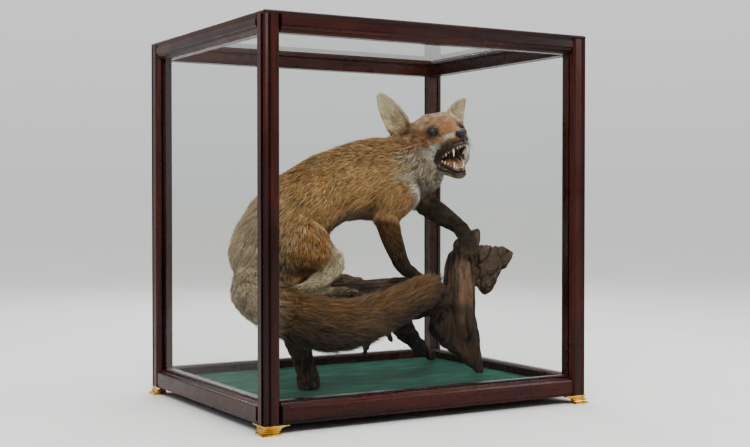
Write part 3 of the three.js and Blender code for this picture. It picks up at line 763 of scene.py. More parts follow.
        def shape(points: np.ndarray) -> np.ndarray:
            """Takes the unit sphere's points to the tube.

            Args:
                points: one place a row.

            Returns:
                The places on the tube.
            """
            share = 1.0 - np.arccos(np.clip(points[:, 2], -1, 1)) / math.pi
            place = share * (len(line) - 1)
            ring = np.hypot(points[:, 0], points[:, 1])
            turn = points[:, :2] / np.maximum(ring, 1e-6)[:, None]
            full = np.minimum(1.0, (np.minimum(share, 1 - share) * rows / closing + blunt))
            full = np.where(ring < 1e-5, 0.0, full)
            index = np.arange(len(line))
            columns = (*line.T, side, deep, *across.T, *upward.T)
            pick = [np.interp(place, index, column) for column in columns]
            middle = np.stack(pick[0:3], 1)
            out = np.stack(pick[5:8], 1) * (turn[:, :1] * pick[3][:, None])
            out += np.stack(pick[8:11], 1) * (turn[:, 1:] * pick[4][:, None])
            return middle + out * full[:, None]

        return Craft.shaped(around, rows + 1, shape)


# ---------------------------------------------------------------- the case


@dataclass
class Showcase:
    """The mahogany frame, its glass, brass feet and baize floor, which keep the CAD's shapes."""

    along: tuple[str, ...] = (
        "top_rail_front", "top_rail_back", "bottom_rail_front", "bottom_rail_back", "base_board",
    )
    deep: tuple[str, ...] = ("top_rail_left", "top_rail_right", "bottom_rail_left", "bottom_rail_right")

    def dress(self) -> None:
        """Gives each member its finish, with its grain along it."""
        woods = {run: Mahogany(run).make() for run in Run}
        finishes = {
            self.along: woods[Run.ALONG],
            self.deep: woods[Run.DEEP],
            ("post_",): woods[Run.TALL],
            ("foot_",): Brass().make(),
            ("pane_",): Glass().make(),
            ("baize_floor",): Baize().make(),
        }
        for name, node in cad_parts.items():
            for starts, finish in finishes.items():
                if name.startswith(starts):
                    node.data.materials.clear()
                    node.data.materials.append(finish)
        log.info("case dressed")


# ---------------------------------------------------------------- the driftwood


@dataclass(frozen=True)
class Timber:
    """One length of driftwood: which way its fibres run, and how deep its cracks go."""

    node: str
    fibres: Point
    cracks: float = 1.0


@dataclass
class Driftwood:
    """The gnarled log and its upright root, as one weathered piece."""

    voxel: float = 2.4
    swell: float = 0.6
    sunk: float = 0.4
    lengths: tuple[Timber, ...] = (
        Timber("wood_log", (1.0, -0.05, 0.04), 0.8),
        Timber("wood_trunk", (0.1, 0.1, 1.0), 1.25),
        Timber("wood_horn", (0.75, 0.1, 0.75), 1.1),
        Timber("wood_spike", (0.1, 0.0, 1.0), 0.6),
        Timber("wood_knot", (0.4, 0.3, 0.9), 0.9),
        Timber("wood_stump", (0.1, 0.0, 1.0), 1.0),
        Timber("wood_root_back", (0.7, 0.8, -0.5), 1.1),
    )

    def build(self) -> None:
        """Joins the lengths, then weathers them along their fibres."""
        names = [timber.node for timber in self.lengths]
        wood = Craft.copy_of(names, "driftwood", self.swell)
        Craft.apply(wood, "REMESH", mode="VOXEL", voxel_size=self.voxel * MM, use_smooth_shade=True)
        edges = Craft.edges(wood)
        places = Craft.even_out(Craft.corners(wood), edges, 2)
        Craft.move(wood, places)
        which = Nearest(names).find(places)
        share = Craft.even_out(np.eye(len(names))[which], edges, 14)
        normals = Craft.normals(wood)
        mm = in_case(places)
        rise = np.zeros(len(mm))
        split = np.zeros(len(mm))
        for index, timber in enumerate(self.lengths):
            height, cracks = self._weather(mm, timber, index)
            rise += height * share[:, index]
            split += cracks * share[:, index]
        Craft.move(wood, places + normals * ((rise - self.sunk) * MM)[:, None])
        self._paint(wood, mm, rise, split)
        finish = Painted("driftwood", (0.6, 0.92), 420.0, 0.0012, 0.8, gloss=0.2, speck=0.35).make()
        Craft.finish(wood, finish, "driftwood", names)

    @staticmethod
    def _weather(mm: np.ndarray, timber: Timber, index: int) -> tuple[np.ndarray, np.ndarray]:
        """Fibrous ridges, splits and cracks along a length, with lumps and pits between them.

        Args:
            mm: places on the wood.
            timber: the length.
            index: its number, which picks its own grain.

        Returns:
            The height in mm, and how far each place lies in a crack.
        """
        fibre = unit(np.array(timber.fibres))
        flat = mm - (mm @ fibre)[:, None] * fibre * 0.9
        ridges = 0.75 - np.abs(Grain.layers(flat, 17.0, 5 + index, 2)) * 2.4
        splits = 0.75 - np.abs(Grain.layers(flat, 7.0, 25 + index, 3)) * 2.6
        cracks = np.clip(1.0 - np.abs(Grain.layers(flat, 15.0, 40 + index, 2)) * 8.0, 0, 1)
        lumps = Grain.layers(mm, 24.0, 70 + index, 3)
        pits = np.clip(Grain.at(mm, 7.0, 90 + index) - 0.3, 0, 1)
        height = 2.4 * ridges + 1.7 * splits + 1.7 * lumps - 3.2 * cracks * timber.cracks - 1.2 * pits
        return height, cracks

    @staticmethod
    def _paint(wood: Thing, mm: np.ndarray, rise: np.ndarray, split: np.ndarray) -> None:
        """Dark weathered brown, with painted shade near black in the cracks and darker in low places, painted
        highlights on the raised ridges, and tan on the cleft face of the root.

        Args:
            wood: the piece.
            mm: its vertices before they were weathered.
            rise: each one's height in mm.
            split: how far each lies in a crack.
        """
        slant = 0.58
        cloud = Grain.layers(mm, 34.0, 11, 4)
        streak = Grain.layers(mm * np.array([1.0, 1.0, 0.25]), 7.0, 12, 3)
        fibre = Grain.layers(mm * np.array([1.0, 1.0, 0.12]), 4.0, 15, 2)
        normal = unit(Craft.normals(wood))
        front_side = step(-normal[:, 1] - 0.35 * normal[:, 0], 0.25, 0.85)
        right = mm[:, 0] - slant * mm[:, 1]
        trunk = step(mm[:, 0], 520, 545) * step(mm[:, 2], 150, 178) * (1 - step(mm[:, 2], 240, 266))
        trunk = trunk * (1 - step(right, 448, 462))
        cleft = front_side * trunk * step(streak + cloud, -0.9, 0.1)
        horn = step(right, 452, 472) * step(mm[:, 2], 190, 206)
        rust = step(Grain.layers(mm, 12.0, 13, 2), 0.25, 0.6) * trunk * step(-mm[:, 2], -210, -175)
        colour = layered(
            covered(len(mm), linear(62, 45, 35)),
            (linear(34, 24, 19), step(cloud, 0.0, 0.6)),
            (linear(86, 66, 51), step(-cloud, 0.05, 0.7) * 0.7),
            # painted highlight: lighter on the raised ridges
            (linear(112, 88, 66), step(rise, 2.0, 4.5) * 0.5),
            # painted shade: darker in the low places
            (linear(24, 17, 14), step(-rise, 1.0, 3.5) * 0.7),
            (linear(108, 84, 67), cleft * (0.72 + 0.28 * step(fibre, -0.4, 0.4))),
            (linear(54, 40, 32), cleft * step(-fibre, 0.1, 0.5) * 0.6),
            (linear(88, 72, 62), horn * step(streak + cloud, -1.0, 0.3) * 0.7),
            (linear(104, 66, 40), rust * 0.5),
            # painted shade: near black in the cracks
            (linear(20, 14, 11), step(split, 0.1, 0.7) * 0.85),
        )
        Craft.paint(wood, colour * (1.0 + 0.22 * streak)[:, None])


class Nearest:
    """Finds which of several CAD nodes a place lies closest to."""

    def __init__(self, names: Sequence[str]) -> None:
        """Gathers the nodes' triangles.

        Args:
            names: the nodes.
        """
        vertices, faces, owners = [], [], []
        for index, name in enumerate(names):
            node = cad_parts[name]
            base = len(vertices)
            vertices.extend(Vector(place) for place in Craft.corners(node))
            for corner in Craft.triangles(node):
                faces.append([int(value) + base for value in corner])
                owners.append(index)
        self.tree = BVHTree.FromPolygons(vertices, faces)
        self.owners = np.array(owners)

    def find(self, places: np.ndarray) -> np.ndarray:
        """The index of the closest node for each place."""
        return self.owners[[self.tree.find_nearest(place)[2] for place in places]]


# ---------------------------------------------------------------- the fox


@dataclass(frozen=True)
class HeadPlace:
    """The head's own frame: ahead, left and up from the nose's tip, in mm."""

    tip: Point = (484.0, 115.0, 504.0)
    yaw: float = -100.1
    pitch: float = 3.2
    roll: float = 9.6

    def axes(self) -> np.ndarray:
        """The head's own directions.

        Returns:
            Ahead, left and up, one a row.
        """
        yaw, pitch, roll = (math.radians(value) for value in (self.yaw, self.pitch, self.roll))
        ahead = np.array([math.cos(pitch) * math.cos(yaw), math.cos(pitch) * math.sin(yaw), math.sin(pitch)])
        level = unit(np.cross([0.0, 0.0, 1.0], ahead))
        left = level * math.cos(roll) + np.cross(ahead, level) * math.sin(roll)
        return np.stack([ahead, left, np.cross(ahead, left)])

    def out(self, points: Sequence) -> np.ndarray:
        """Head places in mm as places in the row's frame in metres."""
        return placed(np.asarray(points, float) @ self.axes() + np.array(self.tip))

    def way(self, directions: Sequence) -> np.ndarray:
        """Head directions as directions in the row's frame."""
        return np.asarray(directions, float) @ self.axes()

    def inside(self, places: np.ndarray) -> np.ndarray:
        """Places in the row's frame in metres as head places in mm."""
        return (in_case(places) - np.array(self.tip)) @ self.axes().T


HEAD = HeadPlace()


class Side(Enum):
    """The two sides of the head."""

    LEFT = 1.0
    RIGHT = -1.0


@dataclass(frozen=True)
class EyeShape:
    """An eye in its socket, and the almond that its lids leave open."""

    side: Side
    ahead: float = -77.0
    out: float = 28.5
    up: float = 18.0
    radius: float = 10.2
    half_length: float = 12.2
    above: float = 7.6
    below: float = 6.4

    def centre(self) -> np.ndarray:
        """The eyeball's middle, in head mm."""
        return np.array([self.ahead, self.side.value * self.out, self.up])

    def axes(self) -> np.ndarray:
        """The eye's own directions.

        Returns:
            Along the lids to the outer corner, up across them, and outwards, one a row.
        """
        gaze = unit(np.array([0.6, self.side.value * 0.76, 0.2]))
        lids = np.array([-0.78, self.side.value * 0.52, 0.3])
        lids = unit(lids - gaze * (lids @ gaze))
        upward = np.cross(gaze, lids) * -self.side.value
        return np.stack([lids, upward if upward[2] > 0 else -upward, gaze])

    def local(self, head: np.ndarray) -> np.ndarray:
        """Head places as mm along the lids, up across them, and outwards from the middle."""
        return (head - self.centre()) @ self.axes().T

    def openness(self, local: np.ndarray) -> np.ndarray:
        """Below 1 within the lids' opening, and more outside it."""
        reach = np.where(local[:, 1] > 0, self.above, self.below)
        return np.hypot(local[:, 0] / self.half_length, local[:, 1] / reach)

    def rim(self, count: int) -> np.ndarray:
        """Places round the opening's edge, lying on the eyeball.

        Args:
            count: how many there are.

        Returns:
            Places in mm on the eye's own axes.
        """
        turn = np.linspace(0, 2 * math.pi, count, endpoint=False)
        pointed = np.sign(np.sin(turn)) * np.abs(np.sin(turn)) ** 1.25
        across = self.half_length * np.cos(turn)
        rise = np.where(pointed > 0, self.above, self.below) * pointed
        flat = np.hypot(across, rise)
        reach = self.radius + 0.55
        corner = reach * 0.93
        depth = np.sqrt(np.maximum(reach**2 - flat**2, 0.0))
        depth = np.where(flat > corner, reach * 0.36 - (flat - corner) * 0.6, depth)
        return np.stack([across, rise, depth], 1)

    def outwards(self, local: np.ndarray) -> np.ndarray:
        """Places on the eye's own axes as places in the row's frame."""
        return HEAD.out(local @ self.axes() + self.centre())


EYES = (EyeShape(Side.RIGHT), EyeShape(Side.LEFT))
UPPER_LIP = (
    (-3.5, 0.0, -8.5), (-5.0, 6.0, -10.5), (-10.0, 11.5, -12.5), (-20.0, 16.5, -15.0), (-32.0, 19.3, -18.0),
    (-45.0, 21.5, -20.0), (-58.0, 25.5, -22.5), (-70.0, 31.0, -27.5), (-79.0, 34.0, -35.0),
    (-85.0, 33.5, -44.0),
)
LOWER_LIP = (
    (-87.0, 31.0, -50.0), (-82.0, 28.0, -54.5), (-72.0, 24.0, -59.5), (-60.0, 18.5, -64.5),
    (-50.0, 14.5, -69.0), (-43.0, 9.5, -72.0), (-38.5, 0.0, -74.0),
)
NOSE_MIDDLE = np.array([-8.0, 0.0, 6.0])
NOSE_HALVES = np.array([9.5, 11.5, 9.5])


def from_nose(head: np.ndarray) -> np.ndarray:
    """How far head places are from the nose pad's middle, where its edge is at 1."""
    return np.linalg.norm((head - NOSE_MIDDLE) / NOSE_HALVES, axis=1)


class Coat(Enum):
    """How the coat grows: its depth, its tufts' length and width in mm, and tufts a square cm."""

    BODY = (12.5, 33.0, 2.1, 17.0)
    RUFF = (12.5, 31.0, 1.9, 19.0)
    THIGH = (10.5, 28.0, 1.9, 19.0)
    SHOULDER = (8.0, 26.0, 1.8, 21.0)
    SHANK = (5.0, 15.0, 1.4, 30.0)
    FORELEG = (3.2, 12.0, 1.3, 36.0)
    PAW = (1.4, 6.5, 1.0, 46.0)
    BRUSH = (19.0, 46.0, 2.1, 24.0)
    FACE = (3.0, 11.0, 1.15, 56.0)
    EAR = (0.9, 6.0, 0.9, 55.0)


@dataclass(frozen=True)
class Flesh:
    """One length of the body: its middle line in mm, and how its coat lies.

    The coat lies along the line, or against it where lie is -1, falls by fall, and a swept coat lies one way.
    """

    node: str
    line: tuple[Point, ...]
    coat: Coat
    lie: float = 1.0
    fall: float = 0.0
    swept: Point | None = None


SPINE = (
    (86, 282, 218), (112, 281, 262), (150, 280, 314), (205, 280, 362), (270, 280, 401), (340, 280, 417),
    (400, 282, 421), (445, 283, 421), (482, 281, 421),
)
NECK = ((400, 285, 426), (440, 280, 438), (478, 266, 454), (508, 240, 474), (500, 190, 500))
TAIL = (
    (98, 262, 218), (90, 228, 201), (97, 186, 185), (126, 150, 164), (190, 140, 145), (243, 139, 143),
    (291, 140, 155), (338, 145, 169), (388, 152, 188), (424, 160, 202), (450, 166, 210),
)
TAIL_RADII = (
    (0.0, 48.0), (0.1, 51.0), (0.25, 52.0), (0.45, 53.0), (0.6, 47.0), (0.72, 41.0), (0.83, 36.0),
    (0.92, 26.0), (1.0, 10.0),
)
TAIL_NODES = tuple(f"fox_tail_{length}" for length in (1, 2, 3, 4))
NO_LINE = ((0, 0, 0), (1, 0, 0))
BACK_AND_DOWN = (-0.25, 0.0, -1.0)
BODY = (
    Flesh("fox_trunk", SPINE, Coat.BODY, -1.0, 0.45),
    Flesh("fox_neck", NECK, Coat.RUFF, -1.0, 0.55),
    Flesh("fox_head", NO_LINE, Coat.FACE),
    Flesh("fox_jaw", NO_LINE, Coat.FACE),
    Flesh("fox_ear_right", NO_LINE, Coat.EAR),
    Flesh("fox_ear_left", NO_LINE, Coat.EAR),
    Flesh("fox_fore_right_upper", ((420, 236, 408), (390, 221, 372), (364, 213, 340)), Coat.SHOULDER),
    Flesh("fox_fore_right_lower", ((363, 212, 342), (380, 212, 297), (398, 212, 254)), Coat.FORELEG),
    Flesh("fox_fore_right_paw", ((397, 212, 258), (411, 211, 238), (438, 208, 229)), Coat.PAW),
    Flesh("fox_fore_left_upper", ((436, 328, 404), (478, 324, 389), (516, 314, 378)),
          Coat.SHOULDER, 1.0, 0.2),
    Flesh("fox_fore_left_lower", ((508, 316, 379), (544, 296, 350), (570, 270, 327)), Coat.FORELEG),
    Flesh("fox_fore_left_paw", ((565, 274, 331), (581, 252, 308), (578, 232, 286), (568, 217, 268)),
          Coat.PAW),
    Flesh("fox_hind_right_upper", ((120, 236, 316), (172, 217, 298), (212, 206, 278), (234, 204, 264)),
          Coat.THIGH, 0.35, 1.0, BACK_AND_DOWN),
    Flesh("fox_hind_right_lower", ((250, 202, 270), (234, 205, 240), (200, 208, 214), (170, 210, 203)),
          Coat.SHANK),
    Flesh("fox_hind_right_paw", ((172, 209, 205), (212, 209, 198), (256, 210, 199), (292, 211, 200)),
          Coat.PAW),
    Flesh("fox_hind_left_upper", ((122, 326, 318), (185, 342, 306), (245, 348, 302), (282, 348, 299)),
          Coat.THIGH, 0.35, 1.0, BACK_AND_DOWN),
    Flesh("fox_hind_left_lower", ((278, 345, 297), (251, 338, 262), (218, 331, 228)), Coat.SHANK),
    Flesh("fox_hind_left_paw", ((214, 331, 228), (257, 330, 219), (317, 328, 216), (366, 327, 216)),
          Coat.PAW),
    *(Flesh(node, TAIL, Coat.BRUSH) for node in TAIL_NODES),
)
PART = {flesh.node: index for index, flesh in enumerate(BODY)}


@dataclass(frozen=True)
class Ear:
    """A cupped ear: its root, way and opening on the head's axes, and its shape by share of its length.

    The outline is half its width in mm, and the wrap is how far it curls round, in radians.
    """

    root: Point
    way: Point
    opening: Point
    outline: tuple = (
        (-0.3, 17.0), (0.0, 21.5), (0.22, 24.0), (0.45, 22.5), (0.7, 17.5), (0.88, 11.0), (0.97, 6.0),
        (1.0, 3.0),
    )
    length: float = 98.0
    sunk: float = 0.3
    tip_bend: float = 9.0
    wrap: tuple = ((-0.3, 1.9), (0.0, 1.7), (0.3, 1.25), (0.7, 0.95), (1.0, 0.6))
    thickness: float = 6.6

    def build(self) -> Thing:
        """Makes the ear.

        Returns:
            A closed, curved leaf.
        """
        bpy.ops.object.select_all(action="DESELECT")
        bpy.ops.mesh.primitive_grid_add(x_subdivisions=22, y_subdivisions=34, size=2.0)
        leaf = bpy.context.active_object
        grid = Craft.corners(leaf)
        share = -self.sunk + (1.0 + self.sunk) * (grid[:, 1] + 1) / 2
        half, wrap = along(self.outline, share), along(self.wrap, share)
        turn = grid[:, 0] * wrap
        radius = half / np.sin(np.minimum(wrap, math.pi / 2))
        way = unit(np.array(self.way))
        opening = unit(np.array(self.opening) - way * (np.array(self.opening) @ way))
        across = np.cross(way, opening)
        back = radius * (1 - np.cos(turn)) - 0.55 * radius * (1 - np.cos(wrap))
        back = back + self.tip_bend * np.maximum(share, 0) ** 2
        place = np.array(self.root) + np.outer(share * self.length, way)
        place = place + np.outer(radius * np.sin(turn), across) + np.outer(back, opening)
        Craft.move(leaf, HEAD.out(place))
        Craft.apply(leaf, "SOLIDIFY", thickness=self.thickness * MM, offset=0.0)
        Craft.in_edit(leaf, bpy.ops.mesh.normals_make_consistent, inside=False)
        return leaf


FAR_EAR = ((-0.3, 17.0), (0.0, 21.5), (0.22, 22.5), (0.45, 18.5), (0.7, 12.0), (0.88, 6.5), (1.0, 2.2))
EARS = {
    "fox_ear_right": Ear((-145, -68, 40), (-0.56, -0.13, 0.82), (0.75, -0.6, 0.2)),
    "fox_ear_left": Ear((-139, 49, 44), (-0.69, 0.6, 0.41), (0.8, 0.6, 0.1), FAR_EAR),
}


@dataclass
class Places:
    """Points on the fox with all that its markings and its coat need to know of them."""

    where: np.ndarray
    normal: np.ndarray
    share: np.ndarray

    def __post_init__(self) -> None:
        """Works out the mm of the case and of the head."""
        self.mm = in_case(self.where)
        self.head = HEAD.inside(self.where)
        self.facing = self.normal @ HEAD.axes().T

    def part(self, *starts: str) -> np.ndarray:
        """How much each point belongs to the parts whose names start so."""
        picks = [index for name, index in PART.items() if name.startswith(starts)]
        return self.share[:, picks].sum(1)


Patches = Sequence[tuple[Sequence, np.ndarray]]


class Markings:
    """The fox's colours, as one function of place that its skin and its coat share.

    Each marking is a share of 0 to 1 at each place, from soft steps over mm. x, y and z are the case's, and
    u, v and w are ahead, left and up from the nose's tip.
    """

    ochre = linear(186, 144, 92)
    russet = linear(172, 120, 78)
    cream = linear(212, 196, 166)
    white = linear(222, 217, 207)
    grey = linear(120, 112, 102)
    tan = linear(178, 160, 130)
    dark = linear(56, 42, 33)
    black = linear(30, 25, 23)
    lip = linear(27, 22, 22)
    palate = linear(62, 38, 34)
    grounds = {
        "fox_trunk": ochre,
        "fox_neck": russet,
        "fox_head": russet,
        "fox_jaw": cream,
        "fox_ear": russet,
        "fox_fore_right_upper": linear(158, 124, 86),
        "fox_fore_right_lower": linear(100, 62, 32),
        "fox_fore_right_paw": linear(48, 34, 25),
        "fox_fore_left_upper": linear(86, 64, 45),
        "fox_fore_left_lower": linear(58, 45, 36),
        "fox_fore_left_paw": linear(50, 39, 32),
        "fox_hind_right_upper": linear(166, 116, 62),
        "fox_hind_right_lower": cream,
        # the near hind paw's dark brown is partly its own colour and partly painted shade for the shadow it
        # lies in
        "fox_hind_right_paw": linear(72, 52, 37),
        "fox_hind_left_upper": linear(160, 112, 62),
        "fox_hind_left_lower": linear(168, 140, 100),
        "fox_hind_left_paw": linear(112, 82, 54),
        "fox_tail": linear(112, 76, 33),
    }
    chest_way = (0.62, -0.42, -0.66)
    dock_way = (0.864, -0.503)

    @classmethod
    def colour(cls, at: Places) -> np.ndarray:
        """The colour of each place.

        Args:
            at: the places.

        Returns:
            One linear colour a row.
        """
        base = np.zeros((len(at.mm), 3))
        for start, colour in cls.grounds.items():
            base += at.part(start)[:, None] * np.array(colour)
        base /= np.maximum(at.share.sum(1), 1e-6)[:, None]
        for markings in (cls._trunk, cls._limbs, cls._brush, cls._ears, cls._mask, cls._cheeks, cls._eyes):
            base = layered(base, *markings(at))
        lips = Mouth.lip_distance(at.head)
        face = at.part("fox_head", "fox_jaw")
        return layered(
            base,
            (cls.black, face * (1.0 - step(from_nose(at.head), 1.0, 1.25))),
            (cls.lip, face * (1.0 - step(lips, 2.2, 4.4))),
            (cls.palate, Mouth.within(at) * step(lips, 1.5, 4.0)),
        )

    @classmethod
    def _trunk(cls, at: Places) -> Patches:
        """Pale rump, ochre flanks, darker back and white belly, chest and throat.

        Args:
            at: the places.

        Returns:
            The patches of colour, in the order that they are laid.
        """
        x, _, _ = at.mm.T
        cloud = Grain.layers(at.mm, 46.0, 3, 3)
        trunk, neck = at.part("fox_trunk"), at.part("fox_neck")
        haunch = at.part("fox_trunk", "fox_hind_right_upper", "fox_hind_left_upper")
        front = at.normal @ unit(np.array(cls.chest_way))
        chest = np.maximum(neck, trunk * step(x, 380, 440)) * step(front + 0.12 * cloud, 0.12, 0.55)
        return (
            (cls.tan, haunch * (1.0 - step(x + 14 * cloud, 118, 176)) * 0.85),
            (linear(140, 98, 56), trunk * step(at.normal[:, 2], 0.5, 0.95) * step(x, 140, 230) * 0.6),
            (linear(140, 104, 62), trunk * step(cloud, -0.1, 0.6) * 0.45),
            (cls.grey, trunk * step(-at.normal[:, 2], 0.35, 0.8) * 0.7),
            (linear(130, 92, 58), neck * step(at.normal[:, 2], 0.1, 0.8) * 0.6),
            (linear(112, 86, 64), neck * step(x, 420, 462) * step(cloud, -0.7, 0.1) * 0.65),
            (cls.white, chest * 0.92),
            (cls.grey, chest * step(Grain.layers(at.mm, 16.0, 31, 2), 0.1, 0.6) * 0.55),
        )

    @classmethod
    def _limbs(cls, at: Places) -> Patches:
        """A cream shank, dark stockings, and browner toes and foot.

        Args:
            at: the places.

        Returns:
            The patches of colour, in the order that they are laid.
        """
        x, _, z = at.mm.T
        shank = at.part("fox_hind_right_upper", "fox_hind_right_lower")
        return (
            (cls.cream, shank * step(x, 205, 240) * 0.8),
            (linear(56, 38, 26), at.part("fox_fore_right_lower") * (1.0 - step(z, 262, 318)) * 0.85),
            (linear(96, 72, 52), at.part("fox_fore_left_paw") * step(-z, -292, -276) * 0.5),
            (linear(96, 72, 50), at.part("fox_hind_right_lower") * (1.0 - step(z, 206, 222)) * 0.6),
        )

    @classmethod
    def _brush(cls, at: Places) -> Patches:
        """The brush's dark underside, partly its own dark hair and partly painted shade, its pale dock,
        darker bands, and a warm upper tip lightened by painted light on its upward faces.

        Args:
            at: the places.

        Returns:
            The patches of colour, in the order that they are laid.
        """
        x, y, _ = at.mm.T
        cloud = Grain.layers(at.mm, 30.0, 7, 3)
        tail = at.part("fox_tail")
        from_dock = cls.dock_way[0] * x + cls.dock_way[1] * y + 8 * cloud
        bands = Grain.layers(at.mm * np.array([1.0, 0.6, 1.0]), 36.0, 23, 2)
        return (
            # the dark underside is partly the brush's black-tipped hair and partly painted shade on its
            # downward faces
            (linear(27, 18, 13), tail * step(-at.normal[:, 2] + 0.2 * cloud, -0.3, 0.3) * 0.94),
            (cls.tan, tail * (1.0 - step(from_dock, -22, 12)) * 0.8),
            (linear(96, 66, 34), tail * step(bands, 0.0, 0.5) * 0.65),
            # painted light: a warmer, lighter colour on the upward faces near the tip
            (linear(138, 100, 48), tail * step(at.normal[:, 2], 0.2, 0.9) * step(x, 330, 410) * 0.6),
        )

    @classmethod
    def _ears(cls, at: Places) -> Patches:
        """Cream inner ears, browner with painted shade deep in the cup, and dark backs.

        Args:
            at: the places.

        Returns:
            The patches of colour, in the order that they are laid.
        """
        patches = []
        # painted shade: the mask for the browner, darker colour deep in the ear's cup
        deep = step(Grain.layers(at.head, 14.0, 91, 2), -0.3, 0.6) * (1 - step(at.head[:, 2], 58, 96))
        for name, shape in EARS.items():
            facing = at.normal @ unit(HEAD.way(shape.opening))
            ear = at.part(name)
            high = step((at.head - np.array(shape.root)) @ unit(np.array(shape.way)), 16, 44)
            patches += [
                (linear(202, 184, 152), ear * step(facing, 0.1, 0.45)),
                # painted shade: browner and darker deep in the cup
                (linear(146, 122, 94), ear * step(facing, 0.3, 0.6) * deep * 0.7),
                (cls.dark, ear * (1.0 - step(facing, 0.0, 0.32)) * (0.35 + 0.62 * high)),
            ]
        return tuple(patches)

    @classmethod
    def _mask(cls, at: Places) -> Patches:
        """Russet brow, white cheeks and muzzle side, whisker beds, and a speckle over them.

        Args:
            at: the places.

        Returns:
            The patches of colour, in the order that they are laid.
        """
        u, v, w = at.head.T
        wide, back = np.abs(v), -u
        face = at.part("fox_head", "fox_jaw")
        cloud = Grain.layers(at.head, 15.0, 51, 3)
        temple = face * step(-w, -40, -18) * step(back, 96, 118) * step(cloud, -0.6, 0.3)
        cheek = face * step(-w + 0.12 * (u + 60) + 3.5 * cloud, -4, 12) * step(back, 52, 74)
        smoke = cheek * step(Grain.layers(at.head, 18.0, 57, 2), -0.1, 0.5)
        band = face * step(16 - np.abs(w + 0.5 * (u + 92) - 2.0), 4, 12) * step(back, 74, 92)
        middle = 6.5 + 0.14 * (u + 14) + 1.6 * cloud
        patch = face * (1 - step(np.abs(w - middle), 3.0, 7.5))
        patch = patch * step(back, 11, 18) * (1 - step(back, 36, 62))
        beds = face * (1 - step(w - middle, -13, -6)) * step(back, 4, 12) * (1 - step(back, 52, 70))
        streak = face * (1 - step(np.abs(w + 8 + 0.5 * (-u - 62)), 4, 11))
        streak = streak * step(back, 54, 66) * (1 - step(back, 84, 100))
        speck = Grain.layers(at.head, 6.5, 61, 2)
        mask = (face + at.part("fox_neck") * step(-w + u, -260, -180)) * step(back, 52, 80)
        return (
            (linear(184, 146, 112), face * step(w, 24, 44) * step(back, 60, 95) * 0.75),
            (linear(120, 88, 62), temple * 0.75),
            (cls.white, cheek * 0.94),
            (linear(128, 118, 104), smoke * 0.6),
            (linear(158, 102, 54), band * step(wide, 18, 30) * 0.7),
            (cls.white, patch * step(wide, 5, 10) * 0.92),
            (linear(56, 47, 42), beds * step(w, -34, -28) * 0.8),
            (cls.white, streak * 0.75),
            (linear(214, 200, 178), mask * step(speck, 0.02, 0.5) * 0.5),
            (linear(78, 54, 38), mask * step(-speck, 0.02, 0.5) * 0.55),
        )

    @staticmethod
    def _cheeks(at: Places) -> Patches:
        """The grey ruff behind the jaw, the throat, the chin with its dark tip, and the gullet's side.

        Args:
            at: the places.

        Returns:
            The patches of colour, in the order that they are laid.
        """
        u, v, w = at.head.T
        wide, back, low = np.abs(v), -u, -w
        face, jaw = at.part("fox_head", "fox_jaw"), at.part("fox_jaw")
        cloud = Grain.layers(at.head, 15.0, 51, 3)
        speck = Grain.layers(at.head, 6.5, 61, 2)
        side = (face + at.part("fox_neck", "fox_trunk")) * step(back, 90, 112) * (1 - step(back, 205, 240))
        ruff = side * step(wide, 12, 26) * (1 - step(wide, 86, 106))
        ruff = ruff * step(low, 2, 18) * (1 - step(low, 56, 74))
        throat = side * step(wide, 14, 28) * (1 - step(wide, 62, 80))
        throat = throat * step(low, 56, 70) * (1 - step(low, 84, 100))
        chin = step(low, 64, 78) * step(back, 30, 40) * (1 - step(back, 80, 96))
        gullet = face * step(low, 56, 72) * step(back, 92, 106) * (1 - step(back, 128, 150))
        grizzle = blend(linear(196, 188, 172), linear(112, 102, 88), step(speck, -0.3, 0.4))
        return (
            (grizzle, ruff * 0.85),
            (linear(84, 74, 64), throat * 0.7),
            (linear(176, 160, 134), np.maximum(jaw, face * chin) * 0.7),
            (linear(86, 74, 64), jaw * (1 - step(back, 44, 60)) * 0.75),
            (linear(84, 78, 72), gullet * step(cloud, -0.6, 0.2) * 0.75),
        )

    @classmethod
    def _eyes(cls, at: Places) -> Patches:
        """Brown rings, black rims and a dark tear line at each eye.

        Args:
            at: the places.

        Returns:
            The patches of colour, in the order that they are laid.
        """
        face = at.part("fox_head", "fox_jaw")
        patches = []
        for eye in EYES:
            local = eye.local(at.head)
            inwards, over, out = -local[:, 0], local[:, 1], local[:, 2]
            away = np.linalg.norm(local * np.array([0.85, 1.0, 0.6]), axis=1)
            tear = face * (1.0 - step(np.abs(over + 2.5), 1.5, 5.0)) * step(inwards, 9, 13)
            tear = tear * (1.0 - step(inwards, 17, 26)) * (out > -6) * 0.8
            patches += [
                (linear(74, 50, 34), face * (1.0 - step(away, 11.5, 18.0)) * 0.8),
                (cls.black, face * (1.0 - step(eye.openness(local), 1.08, 1.32)) * (out > 0)),
                (linear(70, 46, 32), tear),
            ]
        return tuple(patches)


